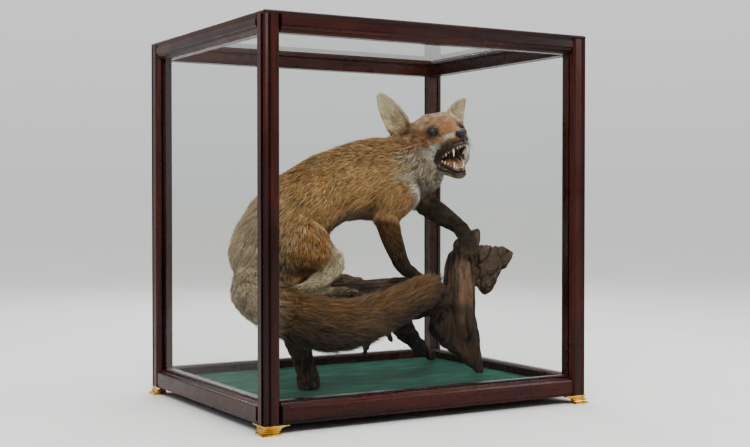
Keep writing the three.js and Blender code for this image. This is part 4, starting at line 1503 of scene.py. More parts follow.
class Mouth:
    """Where the snarling mouth lies: its lips' edges and the bare palate and gullet within."""

    roof_edge = (
        (-90, 33), (-79, 31.5), (-70, 28.5), (-58, 23), (-45, 19.5), (-32, 17.3), (-20, 14.5), (-10, 9),
        (-4, 3),
    )
    floor_edge = ((-90, 27), (-60, 16), (-43, 8))
    floor_way = (0.5, 0.0, 0.87)
    far_off = 99.0

    @staticmethod
    def loop() -> np.ndarray:
        """The lips' edge round the right and left, in head mm."""
        half = Craft.smooth_line(UPPER_LIP + LOWER_LIP, 90)
        return np.vstack([half, half * np.array([1.0, -1.0, 1.0])])

    @classmethod
    def lip_distance(cls, head: np.ndarray) -> np.ndarray:
        """How far each head place is from the lips' edge.

        Args:
            head: places in head mm.

        Returns:
            The distances in mm, and 99 well away from the mouth.
        """
        u, v, w = head.T
        distance = np.full(len(head), cls.far_off)
        near = np.where((u > -112) & (w < 24) & (w > -100) & (np.abs(v) < 60))[0]
        if len(near):
            best = np.full(len(near), 1e9)
            for point in cls.loop():
                best = np.minimum(best, ((head[near] - point) ** 2).sum(1))
            distance[near] = np.minimum(np.sqrt(best), cls.far_off)
        return distance

    @classmethod
    def within(cls, at: Places) -> np.ndarray:
        """Where the mouth's bare inside lies.

        Args:
            at: the places.

        Returns:
            1 on the palate, the mouth's floor and its back wall, and 0 outside.
        """
        u, v, w = at.head.T
        wide = np.abs(v)
        upwards = at.facing @ unit(np.array(cls.floor_way))
        roof = (at.facing[:, 2] < -0.25) & (u > -90) & (wide < along(cls.roof_edge, u)) & (w > -58)
        floor = (upwards > 0.35) & (w < -34) & (u > -98) & (wide < along(cls.floor_edge, u))
        back = (at.facing[:, 0] > 0.4) & (u < -70) & (u > -104) & (wide < 28) & (w < -28) & (w > -66)
        return (roof | floor | back).astype(float)


@dataclass
class Skin:
    """The fox's one skin, which lies inside the coat's outline by the coat's depth.

    Joints are balls, each a place in mm and a radius, that round the body out where two of its parts meet.
    """

    voxel: float = 1.75
    swell: float = 1.0
    budget: int = 176000
    head_middle: Point = (-70.0, 0.0, -10.0)
    head_reach: float = 88.0
    joints: tuple = (
        (512, 315, 378, 23), (529, 305, 364, 21), (567, 272, 329, 19), (577, 260, 317, 18),
        (364, 213, 341, 26), (370, 212, 322, 23), (397, 212, 258, 18), (403, 212, 248, 17),
        (240, 205, 266, 26), (222, 207, 232, 20), (172, 210, 204, 17), (280, 346, 298, 25),
        (266, 342, 280, 20), (216, 331, 229, 16), (418, 246, 396, 46), (392, 240, 376, 40),
        (436, 318, 398, 44), (200, 262, 262, 48), (160, 262, 240, 46), (236, 280, 300, 40),
        (106, 268, 242, 42), (94, 248, 222, 44),
    )

    def build(self) -> Thing:
        """Fuses the flesh, draws it in by the coat's depth, and models lids, folds and brow.

        Returns:
            The skin.
        """
        names = [flesh.node for flesh in BODY]
        clear = ["fox_eye_right", "fox_eye_left", "fox_nose"]
        plain = [name for name in names if name not in EARS]
        skin = Craft.copy_of(plain + clear, "fox_skin", self.swell)
        added = [ear.build() for ear in EARS.values()]
        for *middle, radius in self.joints:
            bpy.ops.object.select_all(action="DESELECT")
            spot = tuple(placed(middle))
            bpy.ops.mesh.primitive_ico_sphere_add(subdivisions=3, radius=radius * MM, location=spot)
            bpy.ops.object.transform_apply(location=True)
            added.append(bpy.context.active_object)
        skin = Craft.fused([skin, *added], "fox_skin")
        Craft.apply(skin, "REMESH", mode="VOXEL", voxel_size=self.voxel * MM, use_smooth_shade=True)
        places = Craft.corners(skin)
        edges = Craft.edges(skin)
        share = Craft.even_out(np.eye(len(names))[Nearest(names).find(places)], edges, 20)
        soft = unit(Craft.even_out(Craft.normals(skin), edges, 8))
        inset = self.inset(share, HEAD.inside(places), places)
        inset = Craft.even_out(inset[:, None], edges, 12)[:, 0] + self.swell
        places = places - soft * (inset * MM)[:, None]
        calm = 1.0 - (1.0 - step(np.abs(inset), 1.0, 3.0)) * 0.6
        eased = Craft.even_out(places, edges, 6)
        Craft.move(skin, places + (eased - places) * calm[:, None])
        self._thin(skin)
        self._shape_face(skin)
        return skin

    @staticmethod
    def inset(share: np.ndarray, head: np.ndarray, places: np.ndarray) -> np.ndarray:
        """How deep the skin lies below the coat's tips.

        Args:
            share: how much each place belongs to each part of the body.
            head: the places in head mm.
            places: the places in the row's frame.

        Returns:
            The depths in mm.
        """
        depths = np.array([flesh.coat.value[0] for flesh in BODY])
        inset = share @ depths
        face = share[:, PART["fox_head"]] + share[:, PART["fox_jaw"]]
        u, _, w = head.T
        own = along([(-175, 7.5), (-140, 4.6), (-110, 2.8), (-90, 2.0), (-60, 1.4), (-25, 1.0), (-5, 0.5)], u)
        own = own + 3.2 * step(-w, -5, 20) * step(-u, 92, 125)
        inset = inset + face * (own - depths[PART["fox_head"]])
        tail = share[:, [PART[node] for node in TAIL_NODES]].sum(1)
        run, _ = Lay.on_line(in_case(places), TAIL)
        deep = np.minimum(0.46 * along(TAIL_RADII, run), 20.0) * (0.6 + 0.4 * step(run, 0.08, 0.3))
        inset = inset + tail * (deep - depths[PART[TAIL_NODES[0]]])
        for eye in EYES:
            inset = np.where(np.linalg.norm(eye.local(head), axis=1) < 16, inset * 0.35, inset)
        return inset

    def _thin(self, skin: Thing) -> None:
        """Lowers the body's face count and keeps the head's.

        Args:
            skin: the skin.
        """
        group = skin.vertex_groups.new(name="body")
        head = HEAD.inside(Craft.corners(skin))
        away = np.linalg.norm(head - np.array(self.head_middle), axis=1)
        plain = np.where(away > self.head_reach)[0]
        group.add([int(index) for index in plain], 1.0, "REPLACE")
        faces = len(Craft.triangles(skin))
        if faces > self.budget:
            ratio = self.budget / faces
            Craft.apply(skin, "DECIMATE", ratio=ratio, vertex_group="body", vertex_group_factor=4.0)
        log.info("skin thinned from %d to %d", faces, len(Craft.triangles(skin)))

    @classmethod
    def _shape_face(cls, skin: Thing) -> None:
        """Raises the brows and the folds of the snarl, and opens the lids over the eyeballs.

        Args:
            skin: the skin.
        """
        places = Craft.corners(skin)
        head = HEAD.inside(places)
        u, v, w = head.T
        face = (u > -175) & (u < 2) & (np.abs(v) < 70) & (np.abs(w) < 95)
        shift = np.where(face, cls._folds(head), 0.0)
        places = places + Craft.normals(skin) * (shift * MM)[:, None]
        head = cls._lids(HEAD.inside(places), face)
        Craft.move(skin, np.where(face[:, None], HEAD.out(head), places))

    @staticmethod
    def _folds(head: np.ndarray) -> np.ndarray:
        """The folds of the snarl over the muzzle, the brow ridges and the bags below the eyes.

        Args:
            head: places in head mm.

        Returns:
            How far each rises, in mm.
        """
        u, v, w = head.T
        wide = np.abs(v)
        bridge = step(w, 6, 14) * step(-u, 14, 24) * (1 - step(-u, 52, 66)) * (1 - step(wide, 10, 17))
        side = step(wide, 9, 14) * step(-u, 16, 26) * (1 - step(-u, 56, 70))
        side = side * step(w, -14, -4) * (1 - step(w, 14, 20))
        wave = np.sin((u * 0.86 + w * 0.5 + wide * 0.35) * 0.74)
        folds = 0.55 * bridge * np.sin(u * 0.98) + 1.15 * side * wave
        ridge = np.zeros(len(u))
        for eye in EYES:
            lids, over, out = eye.local(head).T
            brow = np.exp(-((over - 12.5) / 4.2) ** 2) * np.exp(-((lids + 1.0) / 12.0) ** 2)
            bag = np.exp(-((over + 11.5) / 3.0) ** 2) * np.exp(-((lids + 2.0) / 10.0) ** 2)
            ridge += (1.9 * brow + 0.9 * bag) * (out > -8)
        return folds + ridge

    @staticmethod
    def _lids(head: np.ndarray, face: np.ndarray) -> np.ndarray:
        """Draws the lids over the eyeballs, and sinks the skin behind their opening.

        Args:
            head: places in head mm.
            face: True where they are on the face.

        Returns:
            The new places in head mm.
        """
        for eye in EYES:
            local = eye.local(head)
            reach = np.linalg.norm(local, axis=1)
            openness = eye.openness(local)
            front = (local[:, 2] > -2.5) & (reach < 17.5) & face
            inside = front & (openness < 1.0) & (local[:, 2] > 0)
            cover = eye.radius + 1.35 * (1.0 - step(openness, 1.5, 2.1)) + 0.2
            target = np.where(inside, 7.6, np.maximum(reach, cover))
            moved = local * (target / np.maximum(reach, 1e-6))[:, None]
            head = np.where(front[:, None], moved, local) @ eye.axes() + eye.centre()
        return head


class Lay:
    """Which way the coat lies over the skin."""

    line_steps = 48
    tail_root_drop = (-0.1, 0.0, -1.5)

    @classmethod
    def on_line(cls, mm: np.ndarray, line: Sequence) -> tuple[np.ndarray, np.ndarray]:
        """Where places lie along a line.

        Args:
            mm: the places.
            line: the line's knots.

        Returns:
            How far along it each is, from 0 to 1, and the line's direction there.
        """
        dense = Craft.smooth_line(line, cls.line_steps)
        tangent = unit(np.gradient(dense, axis=0))
        best = np.full(len(mm), 1e12)
        index = np.zeros(len(mm), dtype=int)
        for spot, point in enumerate(dense):
            gap = ((mm - point) ** 2).sum(1)
            nearer = gap < best
            best[nearer] = gap[nearer]
            index[nearer] = spot
        return index / (len(dense) - 1.0), tangent[index]

    @classmethod
    def flow(cls, skin: Thing, which: np.ndarray) -> tuple[np.ndarray, np.ndarray]:
        """The lie of the coat over the skin.

        Args:
            skin: the skin.
            which: the part of the body that each vertex is on.

        Returns:
            A direction at each vertex, and how far along its part that is.
        """
        places = Craft.corners(skin)
        normals = unit(Craft.normals(skin))
        edges = Craft.edges(skin)
        mm = in_case(places)
        head = HEAD.inside(places)
        flow = np.zeros_like(mm)
        run = np.zeros(len(mm))
        for index, flesh in enumerate(BODY):
            own = np.where(which == index)[0]
            if not len(own):
                continue
            if flesh.coat is Coat.EAR:
                ear = EARS[flesh.node]
                flow[own] = unit(HEAD.way(ear.way))
                height = (head[own] - np.array(ear.root)) @ unit(np.array(ear.way))
                run[own] = np.clip(height / ear.length, 0, 1)
            elif flesh.coat is Coat.FACE:
                flow[own] = cls._on_head(head[own])
                run[own] = np.clip((head[own, 0] + 180) / 180, 0, 1)
            else:
                run[own], tangent = cls.on_line(mm[own], flesh.line)
                way = tangent * flesh.lie if flesh.swept is None else np.tile(flesh.swept, (len(own), 1))
                flow[own] = way + np.array([0.0, 0.0, -flesh.fall])
                if flesh.coat is Coat.BRUSH:
                    flow[own] += np.outer(1.0 - step(run[own], 0.06, 0.22), cls.tail_root_drop)
        for _ in range(4):
            flow = Craft.even_out(cls._flat(flow, normals), edges, 6)
        return cls._flat(flow, normals), run

    @staticmethod
    def _flat(flow: np.ndarray, normals: np.ndarray) -> np.ndarray:
        """Directions laid flat on the skin."""
        return unit(flow - normals * (flow * normals).sum(1)[:, None])

    @staticmethod
    def _on_head(head: np.ndarray) -> np.ndarray:
        """Back from the nose over brow and cheeks, and down and back below the mouth.

        Args:
            head: places in head mm.

        Returns:
            A direction in the row's frame for each.
        """
        u, v, w = head.T
        none = np.zeros(len(u))
        source = np.stack([np.full(len(u), 8.0), none, np.clip(w * 0.25, -12, 4)], 1)
        cheek = step(-u, 80, 130) * step(-w, -30, 20)
        chin = step(-w, 60, 72)
        way = unit(head - source)
        way = way + np.stack([-0.2 * cheek, none, -0.55 * cheek], 1)
        way += np.stack([none, np.sign(v) * 0.25 * cheek, none], 1)
        way += np.stack([-0.5 * chin, none, -0.25 * chin], 1)
        return unit(way) @ HEAD.axes()


@dataclass
class Pelt:
    """The coat: thin overlapping tufts, each a tapered, bent, closed sliver over the skin.

    Most is how many tufts a piece holds at most, and the tables give a value by the place from the nose back.
    """

    most: int = 18600
    density: float = 1.28
    seed: int = 20
    face_length: tuple = (
        (-175, 27), (-140, 22), (-118, 16), (-100, 11.5), (-85, 8.5), (-60, 6.2), (-25, 4.4), (-5, 3.2),
    )
    face_width: tuple = ((-175, 1.7), (-120, 1.25), (-80, 0.85), (-5, 0.6))
    face_crowd: tuple = ((-175, 26), (-120, 42), (-85, 70), (-40, 95), (-5, 110))
    groups: tuple = (
        ("trunk", ("fox_trunk",)),
        ("head", ("fox_neck", "fox_head", "fox_jaw", "fox_ear")),
        ("legs", ("fox_fore", "fox_hind")),
        ("brush", ("fox_tail",)),
    )

    def build(self, skin: Thing) -> None:
        """Paints the skin, half as bright with painted shade wherever the coat covers it, then grows the coat
        on it in pieces.

        Args:
            skin: the skin.
        """
        names = [flesh.node for flesh in BODY]
        places = Craft.corners(skin)
        which = Nearest(names).find(places)
        share = Craft.even_out(np.eye(len(names))[which], Craft.edges(skin), 30)
        at = Places(places, unit(Craft.normals(skin)), share)
        bare = self.bare(at)
        # painted shade: the skin is half as bright wherever the coat covers it, and full colour where bare
        Craft.paint(skin, Markings.colour(at) * (0.5 + 0.5 * np.clip(bare, 0, 1))[:, None])
        finish = Painted("fox_skin", (0.55, 0.8), 1100.0, 0.0005, 0.6, sheen=0.15).make()
        Craft.finish(skin, finish, "coat_red", names)
        flow, run = Lay.flow(skin, which)
        tufts = self._roots(at, flow, run, bare, Craft.triangles(skin))
        coat = Painted("fox_coat", (0.5, 0.7), 520.0, 0.0002, 0.25, sheen=0.03, gloss=0.16, speck=0.14).make()
        for name, members in self._pieces(tufts):
            tufts.piece(name, members, coat)

    @staticmethod
    def bare(at: Places) -> np.ndarray:
        """Where no coat grows.

        Args:
            at: the places.

        Returns:
            1 on the eyes, nose, lips and the mouth's inside, and 0 elsewhere.
        """
        bare = np.zeros(len(at.mm))
        face = at.part("fox_head", "fox_jaw") > 0.3
        for eye in EYES:
            local = eye.local(at.head)
            near = np.linalg.norm(local, axis=1) < 17
            bare = np.maximum(bare, ((eye.openness(local) < 1.22) & near) * 1.0)
        bare = np.maximum(bare, (from_nose(at.head) < 1.12) * 1.0)
        bare = np.maximum(bare, (Mouth.lip_distance(at.head) < 2.6) * face * 1.0)
        return np.maximum(bare, Mouth.within(at) * face)

    def _growth(self, at: Places, run: np.ndarray) -> np.ndarray:
        """How the coat grows at each vertex.

        Args:
            at: the vertices.
            run: how far along its part each is.

        Returns:
            Depth, length and width in mm, and tufts a square cm, one row a vertex.
        """
        table = at.share @ np.array([flesh.coat.value for flesh in BODY])
        u, _, w = at.head.T
        face = at.part("fox_head", "fox_jaw")
        length = along(self.face_length, u) * (1.0 + 0.75 * step(-w, -6, 20) * step(-u, 92, 122))
        table[:, 1] += face * (length - table[:, 1])
        table[:, 0] = Skin.inset(at.share, at.head, at.where)
        table[:, 2] += face * (along(self.face_width, u) - table[:, 2])
        table[:, 3] += face * (along(self.face_crowd, u) - table[:, 3])
        table[:, 1] *= 1.0 - 0.5 * at.part("fox_tail") * (1.0 - step(run, 0.1, 0.28))
        return table

    def _roots(self, at: Places, flow: np.ndarray, run: np.ndarray, bare: np.ndarray,
               triangles: np.ndarray) -> "Tufts":
        """Picks the tufts' roots over the skin.

        Args:
            at: the skin's vertices.
            flow: the lie of the coat there.
            run: how far along its part each is.
            bare: 1 where no coat grows.
            triangles: the skin's triangles.

        Returns:
            The tufts.
        """
        dice = np.random.default_rng(self.seed)
        a, b, c = (at.where[triangles[:, k]] for k in range(3))
        area = np.linalg.norm(np.cross(b - a, c - a), axis=1) / 2 * CM2_IN_M2
        table = self._growth(at, run)
        keep = table[:, 3] * (1.0 - bare) * self.density
        expected = area * keep[triangles].mean(1)
        count = np.floor(expected + dice.random(len(expected))).astype(int)
        pick = np.repeat(np.arange(len(triangles)), count)
        weights = dice.dirichlet((1.0, 1.0, 1.0), len(pick))
        corners = triangles[pick]

        def spread(values: np.ndarray) -> np.ndarray:
            """The vertices' values at the roots."""
            return (values[corners] * weights.reshape(weights.shape + (1,) * (values.ndim - 1))).sum(1)

        root = Places(spread(at.where), unit(spread(at.normal)), spread(at.share))
        log.info("coat: %d tufts over %.0f cm2", len(pick), area.sum())
        tree = BVHTree.FromPolygons([Vector(place) for place in at.where], triangles.tolist())
        return Tufts(root, unit(spread(flow)), spread(table), spread(run), dice, tree)

    def _pieces(self, tufts: "Tufts") -> list[tuple[str, np.ndarray]]:
        """Shares the tufts out over pieces that stay under the limit.

        Args:
            tufts: the tufts.

        Returns:
            Each piece's name and its tufts.
        """
        pieces = []
        for group, starts in self.groups:
            parts = [index for name, index in PART.items() if name.startswith(starts)]
            members = np.where(np.isin(tufts.part, parts))[0]
            members = members[np.argsort(tufts.root.mm[members, 0], kind="stable")]
            chunks = max(1, math.ceil(len(members) / self.most))
            for number, chunk in enumerate(np.array_split(members, chunks)):
                pieces.append((f"fox_coat_{group}_{number + 1}", chunk))
        return pieces


@dataclass
class Tufts:
    """Every tuft's root, lie, size and place on its part.

    Each tuft is two rings of three points and a tip, and a ring is its share of the length and of the width.
    """

    root: Places
    lie: np.ndarray
    table: np.ndarray
    runs: np.ndarray
    dice: np.random.Generator
    tree: BVHTree
    rings: tuple = ((-0.04, 0.75), (0.42, 1.0))
    patch: tuple = ((-1, 0), (1, 0), (0, 0.2), (-1, 1), (1, 1), (0, 1.2), (0, 2))
    patch_size: float = 0.0015

    def __post_init__(self) -> None:
        """Draws each tuft's own size, lean and shades."""
        count = len(self.lie)
        mm = self.root.mm
        self.part = self.root.share.argmax(1)
        depth, length, width, _ = self.table.T
        self.across = unit(np.cross(self.root.normal, self.lie))
        sway = 0.32 * Grain.layers(mm, 30.0, 61, 2) + 0.2 * Grain.at(mm, 9.0, 62)
        turn = sway + self.dice.normal(0.0, 0.15, count)
        self.lie = unit(self.lie * np.cos(turn)[:, None] + self.across * np.sin(turn)[:, None])
        self.across = unit(np.cross(self.root.normal, self.lie))
        lock = 1.0 + 0.14 * Grain.at(mm, 13.0, 63)
        self.length = length * lock * self.dice.uniform(0.72, 1.18, count)
        self.height = np.maximum(depth, 0.6) * lock * self.dice.uniform(0.7, 1.12, count)
        self.height = np.minimum(self.height, self.length * 0.62)
        self.width = width * self.dice.uniform(0.45, 0.95, count)
        self.curl = self.dice.normal(0.0, 0.12, count) + 0.12 * Grain.at(mm, 17.0, 64)
        self.hug = 1.0 - 0.5 * self.root.part("fox_tail") * step(mm[:, 0], 150, 230)
        self._shade(count)

    def _shade(self, count: int) -> None:
        """Root, middle and tip colours, with the pale bands and dark tips of a grizzled coat, and roots
        darkened partly as the underfur's own tone and partly as painted shade deep in the coat.

        Args:
            count: how many tufts there are.
        """
        mm = self.root.mm
        base = Markings.colour(self.root)
        body = self.root.part("fox_trunk", "fox_neck", "fox_hind")
        face = self.root.part("fox_head", "fox_jaw", "fox_ear")
        legs = self.root.part("fox_fore")
        tail = self.root.part("fox_tail")
        locks = Grain.at(mm, 7.0, 71) * 0.5 + Grain.at(mm, 3.0, 72) * 0.5
        shade = 1.0 + 0.3 * self.dice.normal(0.0, 1.0, count) * (0.6 + 0.4 * body) + 0.34 * locks
        middle = base * np.clip(shade, 0.32, 1.8)[:, None]
        chance = self.dice.random(count) + 0.25 * locks
        pale = (chance > 0.68 - 0.1 * body) * (0.75 * body + 0.6 * face + 0.3 * legs + 0.25 * tail)
        dark = 0.85 * body + 0.75 * face + 0.6 * legs + 0.85 * tail
        dark = (chance < 0.24 + 0.08 * body + 0.1 * tail) * dark
        warm = blend(base, Markings.cream, np.full(count, 0.65))
        tip = blend(middle * 1.12, warm, pale)
        tip = blend(tip, Markings.dark, dark)
        middle = blend(middle, Markings.cream, pale * 0.4)
        # the roots are a third as bright as the middle: partly the darker underfur, partly painted shade deep
        # in the coat
        self.shades = (middle * 0.34, middle, tip)

    def piece(self, name: str, members: np.ndarray, finish: bpy.types.Material) -> None:
        """Makes one piece of the coat from some of the tufts.

        Args:
            name: the piece's name.
            members: which tufts it holds.
            finish: the coat's material.
        """
        across = self.across[members]
        width = self.width[members] * MM
        points = []
        for share, full in self.rings:
            middle, up = self._spot(members, share)
            half = (width * full / 2)[:, None]
            points += [middle + across * half, middle - across * half, middle + up * half * 0.7]
        points.append(self._spot(members, 1.0)[0])
        vertices = np.stack(points, 1).reshape(-1, 3)
        faces = [(0, 2, 1)]
        for first, second in ((0, 1), (1, 2), (2, 0)):
            faces += [(first, second, second + 3), (first, second + 3, first + 3), (first + 3, second + 3, 6)]
        firsts = (np.arange(len(members)) * len(points))[:, None, None]
        indices = (np.array(faces)[None] + firsts).reshape(-1, 3)
        mesh = bpy.data.meshes.new(name)
        mesh.vertices.add(len(vertices))
        mesh.vertices.foreach_set("co", vertices.ravel())
        mesh.loops.add(indices.size)
        mesh.loops.foreach_set("vertex_index", indices.ravel().astype(np.int32))
        mesh.polygons.add(len(indices))
        mesh.polygons.foreach_set("loop_start", np.arange(0, indices.size, 3, dtype=np.int32))
        mesh.polygons.foreach_set("use_smooth", np.ones(len(indices), dtype=bool))
        self._unwrap(mesh, members, indices)
        mesh.update(calc_edges=True)
        mesh.validate()
        thing = bpy.data.objects.new(name, mesh)
        bpy.context.scene.collection.objects.link(thing)
        root, middle, tip = (values[members] for values in self.shades)
        Craft.paint(thing, np.stack([root] * 3 + [middle] * 3 + [tip], 1).reshape(-1, 3))
        Craft.finish(thing, finish, "coat_red")

    def _spot(self, members: np.ndarray, share: float) -> tuple[np.ndarray, np.ndarray]:
        """The middle of each tuft at a share of its length: it rises, then lies flat.

        Args:
            members: which tufts.
            share: how far along they are cut.

        Returns:
            The places, and the way up from the skin there.
        """
        normal = self.root.normal[members]
        length, height = self.length[members] * MM, self.height[members] * MM
        flat = self.root.where[members] + self.lie[members] * (length * share * 0.94)[:, None]
        flat = flat + self.across[members] * (length * self.curl[members] * share**2)[:, None]
        if share <= 0:
            return flat + normal * (height * share * 2)[:, None], normal
        found = [self.tree.find_nearest(place)[:2] for place in flat]
        near = np.array([hit[0] for hit in found])
        up = unit(np.array([hit[1] for hit in found]) + normal * 0.6)
        drop = np.clip(np.linalg.norm(near - flat, axis=1) / np.maximum(length * share, 1e-6), 0, 1)
        hug = (1.0 - step(drop, 0.5, 0.9) * 0.5)[:, None] * self.hug[members][:, None]
        rise = (height * (1.0 - (1.0 - share) ** 1.7))[:, None]
        return flat + (near - flat) * hug + up * rise, up

    def _turns(self, members: np.ndarray) -> np.ndarray:
        """How far round its part each tuft's root lies.

        Args:
            members: which tufts.

        Returns:
            Shares of a full turn.
        """
        turn = np.zeros(len(members))
        own, run = self.part[members], self.runs[members]
        last = Lay.line_steps - 1
        for index in np.unique(own):
            pick = own == index
            flesh = BODY[index]
            if flesh.coat in (Coat.FACE, Coat.EAR):
                head = self.root.head[members][pick]
                _, left, up = (head - np.median(head, axis=0)).T
            else:
                dense = Craft.smooth_line(flesh.line, Lay.line_steps)
                spot = np.clip((run[pick] * last).astype(int), 0, last)
                tangent = unit(np.gradient(dense, axis=0))[spot]
                out = self.root.mm[members][pick] - dense[spot]
                flat = unit(np.cross(tangent, [0.0, 0.0, 1.0]) + 1e-6)
                left, up = (out * flat).sum(1), (out * np.cross(flat, tangent)).sum(1)
            turn[pick] = np.arctan2(left, up) / (2 * math.pi) + 0.5
        return turn

    def _unwrap(self, mesh: bpy.types.Mesh, members: np.ndarray, indices: np.ndarray) -> None:
        """Lays each tuft as a small patch at its root's place on an unwrap of its part's skin.

        Args:
            mesh: the piece's mesh.
            members: which tufts it holds.
            indices: the vertices of each of its triangles.
        """
        own, run = self.part[members], self.runs[members]
        parts = np.unique(own)
        row = np.searchsorted(parts, own)
        low = np.array([run[own == index].min() for index in parts])[row]
        high = np.array([run[own == index].max() for index in parts])[row]
        tall = (run - low) / np.maximum(high - low, 1e-6)
        centre = np.stack([0.01 + 0.98 * self._turns(members), (row + 0.04 + 0.92 * tall) / len(parts)], 1)
        spots = (centre[:, None, :] + np.array(self.patch)[None] * self.patch_size).reshape(-1, 2)
        layer = mesh.uv_layers.new(name="OFBake")
        layer.data.foreach_set("uv", np.clip(spots[indices.ravel()], 0, 1).astype(np.float32).ravel())


@dataclass(frozen=True)
class Tooth:
    """One tooth: its place on the row, its length and half its width in mm, and how many cusps it has."""

    place: tuple[float, float]
    length: float
    half: float
    cusps: int = 1


@dataclass
class FaceParts:
    """What stands clear of the coat on the head: eyes, lids' rims, nose, lips, gums, teeth, tongue, whiskers.

    An upper tooth's place is ahead and out in head mm, and a lower one's is its share of the row and out.
    """

    upper: tuple[Tooth, ...] = (
        Tooth((-9.5, 2.4), 6.2, 1.7), Tooth((-11.0, 6.6), 7.0, 2.0), Tooth((-15.5, 10.4), 7.4, 2.1),
        Tooth((-27.0, 14.6), 17.5, 3.3), Tooth((-37.0, 15.8), 4.6, 2.6), Tooth((-46.0, 17.3), 5.8, 3.6, 3),
        Tooth((-57.0, 19.4), 7.6, 4.7, 3), Tooth((-67.5, 21.6), 5.6, 3.8, 3),
    )
    lower: tuple[Tooth, ...] = (
        Tooth((1.0, 1.9), 5.4, 1.5), Tooth((0.985, 5.2), 6.0, 1.7), Tooth((0.95, 7.6), 6.2, 1.8),
        Tooth((0.86, 10.2), 14.5, 2.9), Tooth((0.68, 13.4), 4.4, 2.6), Tooth((0.5, 16.2), 5.6, 3.5, 3),
        Tooth((0.31, 18.8), 6.6, 4.4, 3), Tooth((0.14, 21.2), 5.0, 3.6, 3),
    )
    upper_gum: tuple[Point, ...] = (
        (-7.5, 0.0, -13.0), (-9.5, 6.0, -13.8), (-16.0, 11.5, -15.5), (-27.0, 15.4, -18.0),
        (-38.0, 16.6, -20.0), (-48.0, 18.0, -22.0), (-58.0, 20.2, -24.5), (-70.0, 23.0, -28.5),
        (-78.0, 25.0, -33.0),
    )
    lower_gum: tuple = (
        (1.02, 0.0), (0.99, 5.2), (0.88, 10.4), (0.68, 13.4), (0.5, 16.2), (0.31, 18.8), (0.14, 21.2),
        (0.0, 22.5),
    )
    gum_line: tuple = ((-78, -31.0), (-58, -26.0), (-38, -21.5), (-27, -19.5), (-9, -15.0))
    palate_bars: int = 6
    fang_length: float = 12.0
    front_half: float = 2.3
    nose_at: Point = (-7.6, 0.0, 6.2)

    def build(self, skin: Thing) -> None:
        """Makes every part of the face on the finished skin.

        Args:
            skin: the skin.
        """
        places = [Vector(place) for place in Craft.corners(skin)]
        self.skin = BVHTree.FromPolygons(places, Craft.triangles(skin).tolist())
        self._eyes()
        self._nose()
        self._lips()
        self._gums()
        self._teeth()
        self._tongue()
        self._whiskers()

    @staticmethod
    def _eyes() -> None:
        """Dark glass eyes with a faint brown iris, and the black rims of their lids."""
        glass = Painted("eye_glass", (0.04, 0.08), 300.0, 0.0001, 0.02, gloss=0.15, wet=0.7, speck=0.1)
        finish = glass.make()
        rims = []
        for eye in EYES:
            def shape(points: np.ndarray, eye: EyeShape = eye) -> np.ndarray:
                """The eyeball with its raised cornea, from the unit sphere's points."""
                bulge = 1.0 + 0.07 * step(points[:, 2], 0.72, 0.95)
                return eye.outwards(points * bulge[:, None] * eye.radius)

            side = eye.side.name.lower()
            ball = Craft.joined([Craft.shaped(48, 32, shape)], f"fox_eyeball_{side}")
            local = eye.local(HEAD.inside(Craft.corners(ball)))
            ring = np.hypot(local[:, 0], local[:, 1]) / eye.radius
            turn = np.arctan2(local[:, 1], local[:, 0])
            spokes = Grain.at(np.stack([turn * 9, ring * 3, ring * 0], 1), 1.0, 9)
            iris = step(ring, 0.4, 0.48) * (1.0 - step(ring, 0.66, 0.78))
            Craft.tint(ball, linear(7, 6, 7), (linear(48, 27, 14), iris * (0.6 + 0.3 * spokes)))
            Craft.finish(ball, finish, "eye", [f"fox_eye_{side}"])
            loop = eye.rim(56)
            line = eye.outwards(np.vstack([loop, loop[:2]]))
            wide = np.full(len(line), 0.95 * MM)
            out = unit(line - HEAD.out(eye.centre()))
            rims.append(Craft.tube(line, wide * 1.15, wide, out, 10))
        whole = Craft.joined(rims, "fox_lid_rims")
        Craft.tint(whole, linear(26, 20, 18))
        Craft.finish(whole, Painted("lid_skin", (0.3, 0.45), 900.0, 0.0002, 0.3, wet=0.3).make(), "nose_pad")

    def _nose(self) -> None:
        """The black pebbled nose, with comma nostrils and a groove down its middle."""

        def shape(points: np.ndarray) -> np.ndarray:
            """Takes the unit sphere's points to the nose.

            Args:
                points: one place a row.

            Returns:
                The places on the nose.
            """
            left, up, ahead = points.T
            wide = 1.0 + 0.1 * step(up, -0.6, 0.5) - 0.16 * step(-up, 0.1, 1.0)
            place = np.stack([ahead * 9.0, left * 10.6 * wide, up * 8.8], 1)
            dent = np.zeros(len(points))
            for side in (-1.0, 1.0):
                hole = np.exp(-(((left - side * 0.46) / 0.2) ** 2 + ((up + 0.06) / 0.2) ** 2) * 1.1)
                slit = np.exp(-(((left - side * 0.78) / 0.24) ** 2 + ((up + 0.24) / 0.09) ** 2))
                dent += 3.6 * hole * (ahead > 0) + 2.0 * slit * (ahead > -0.3)
            groove = 1.0 * np.exp(-((left / 0.08) ** 2)) * (ahead > 0.2) * (up < 0.35)
            inwards = unit(points)[:, [2, 0, 1]] * (dent + groove)[:, None]
            return HEAD.out(place - inwards + np.array(self.nose_at))

        nose = Craft.joined([Craft.shaped(96, 64, shape)], "fox_nose_pad")
        head = HEAD.inside(Craft.corners(nose)) - np.array(self.nose_at)
        # painted shade: near black deep in the nostrils
        depth = step(7.5 - np.linalg.norm(head * np.array([1.0, 0.85, 1.0]), axis=1), 0.0, 1.6)
        Craft.tint(nose, linear(34, 31, 32), (linear(8, 6, 6), depth))
        leather = Painted("nose_leather", (0.36, 0.55), 850.0, 0.0006, 0.8, gloss=0.5, wet=0.15, speck=0.2)
        Craft.finish(nose, leather.make(), "nose_pad", ["fox_nose"])

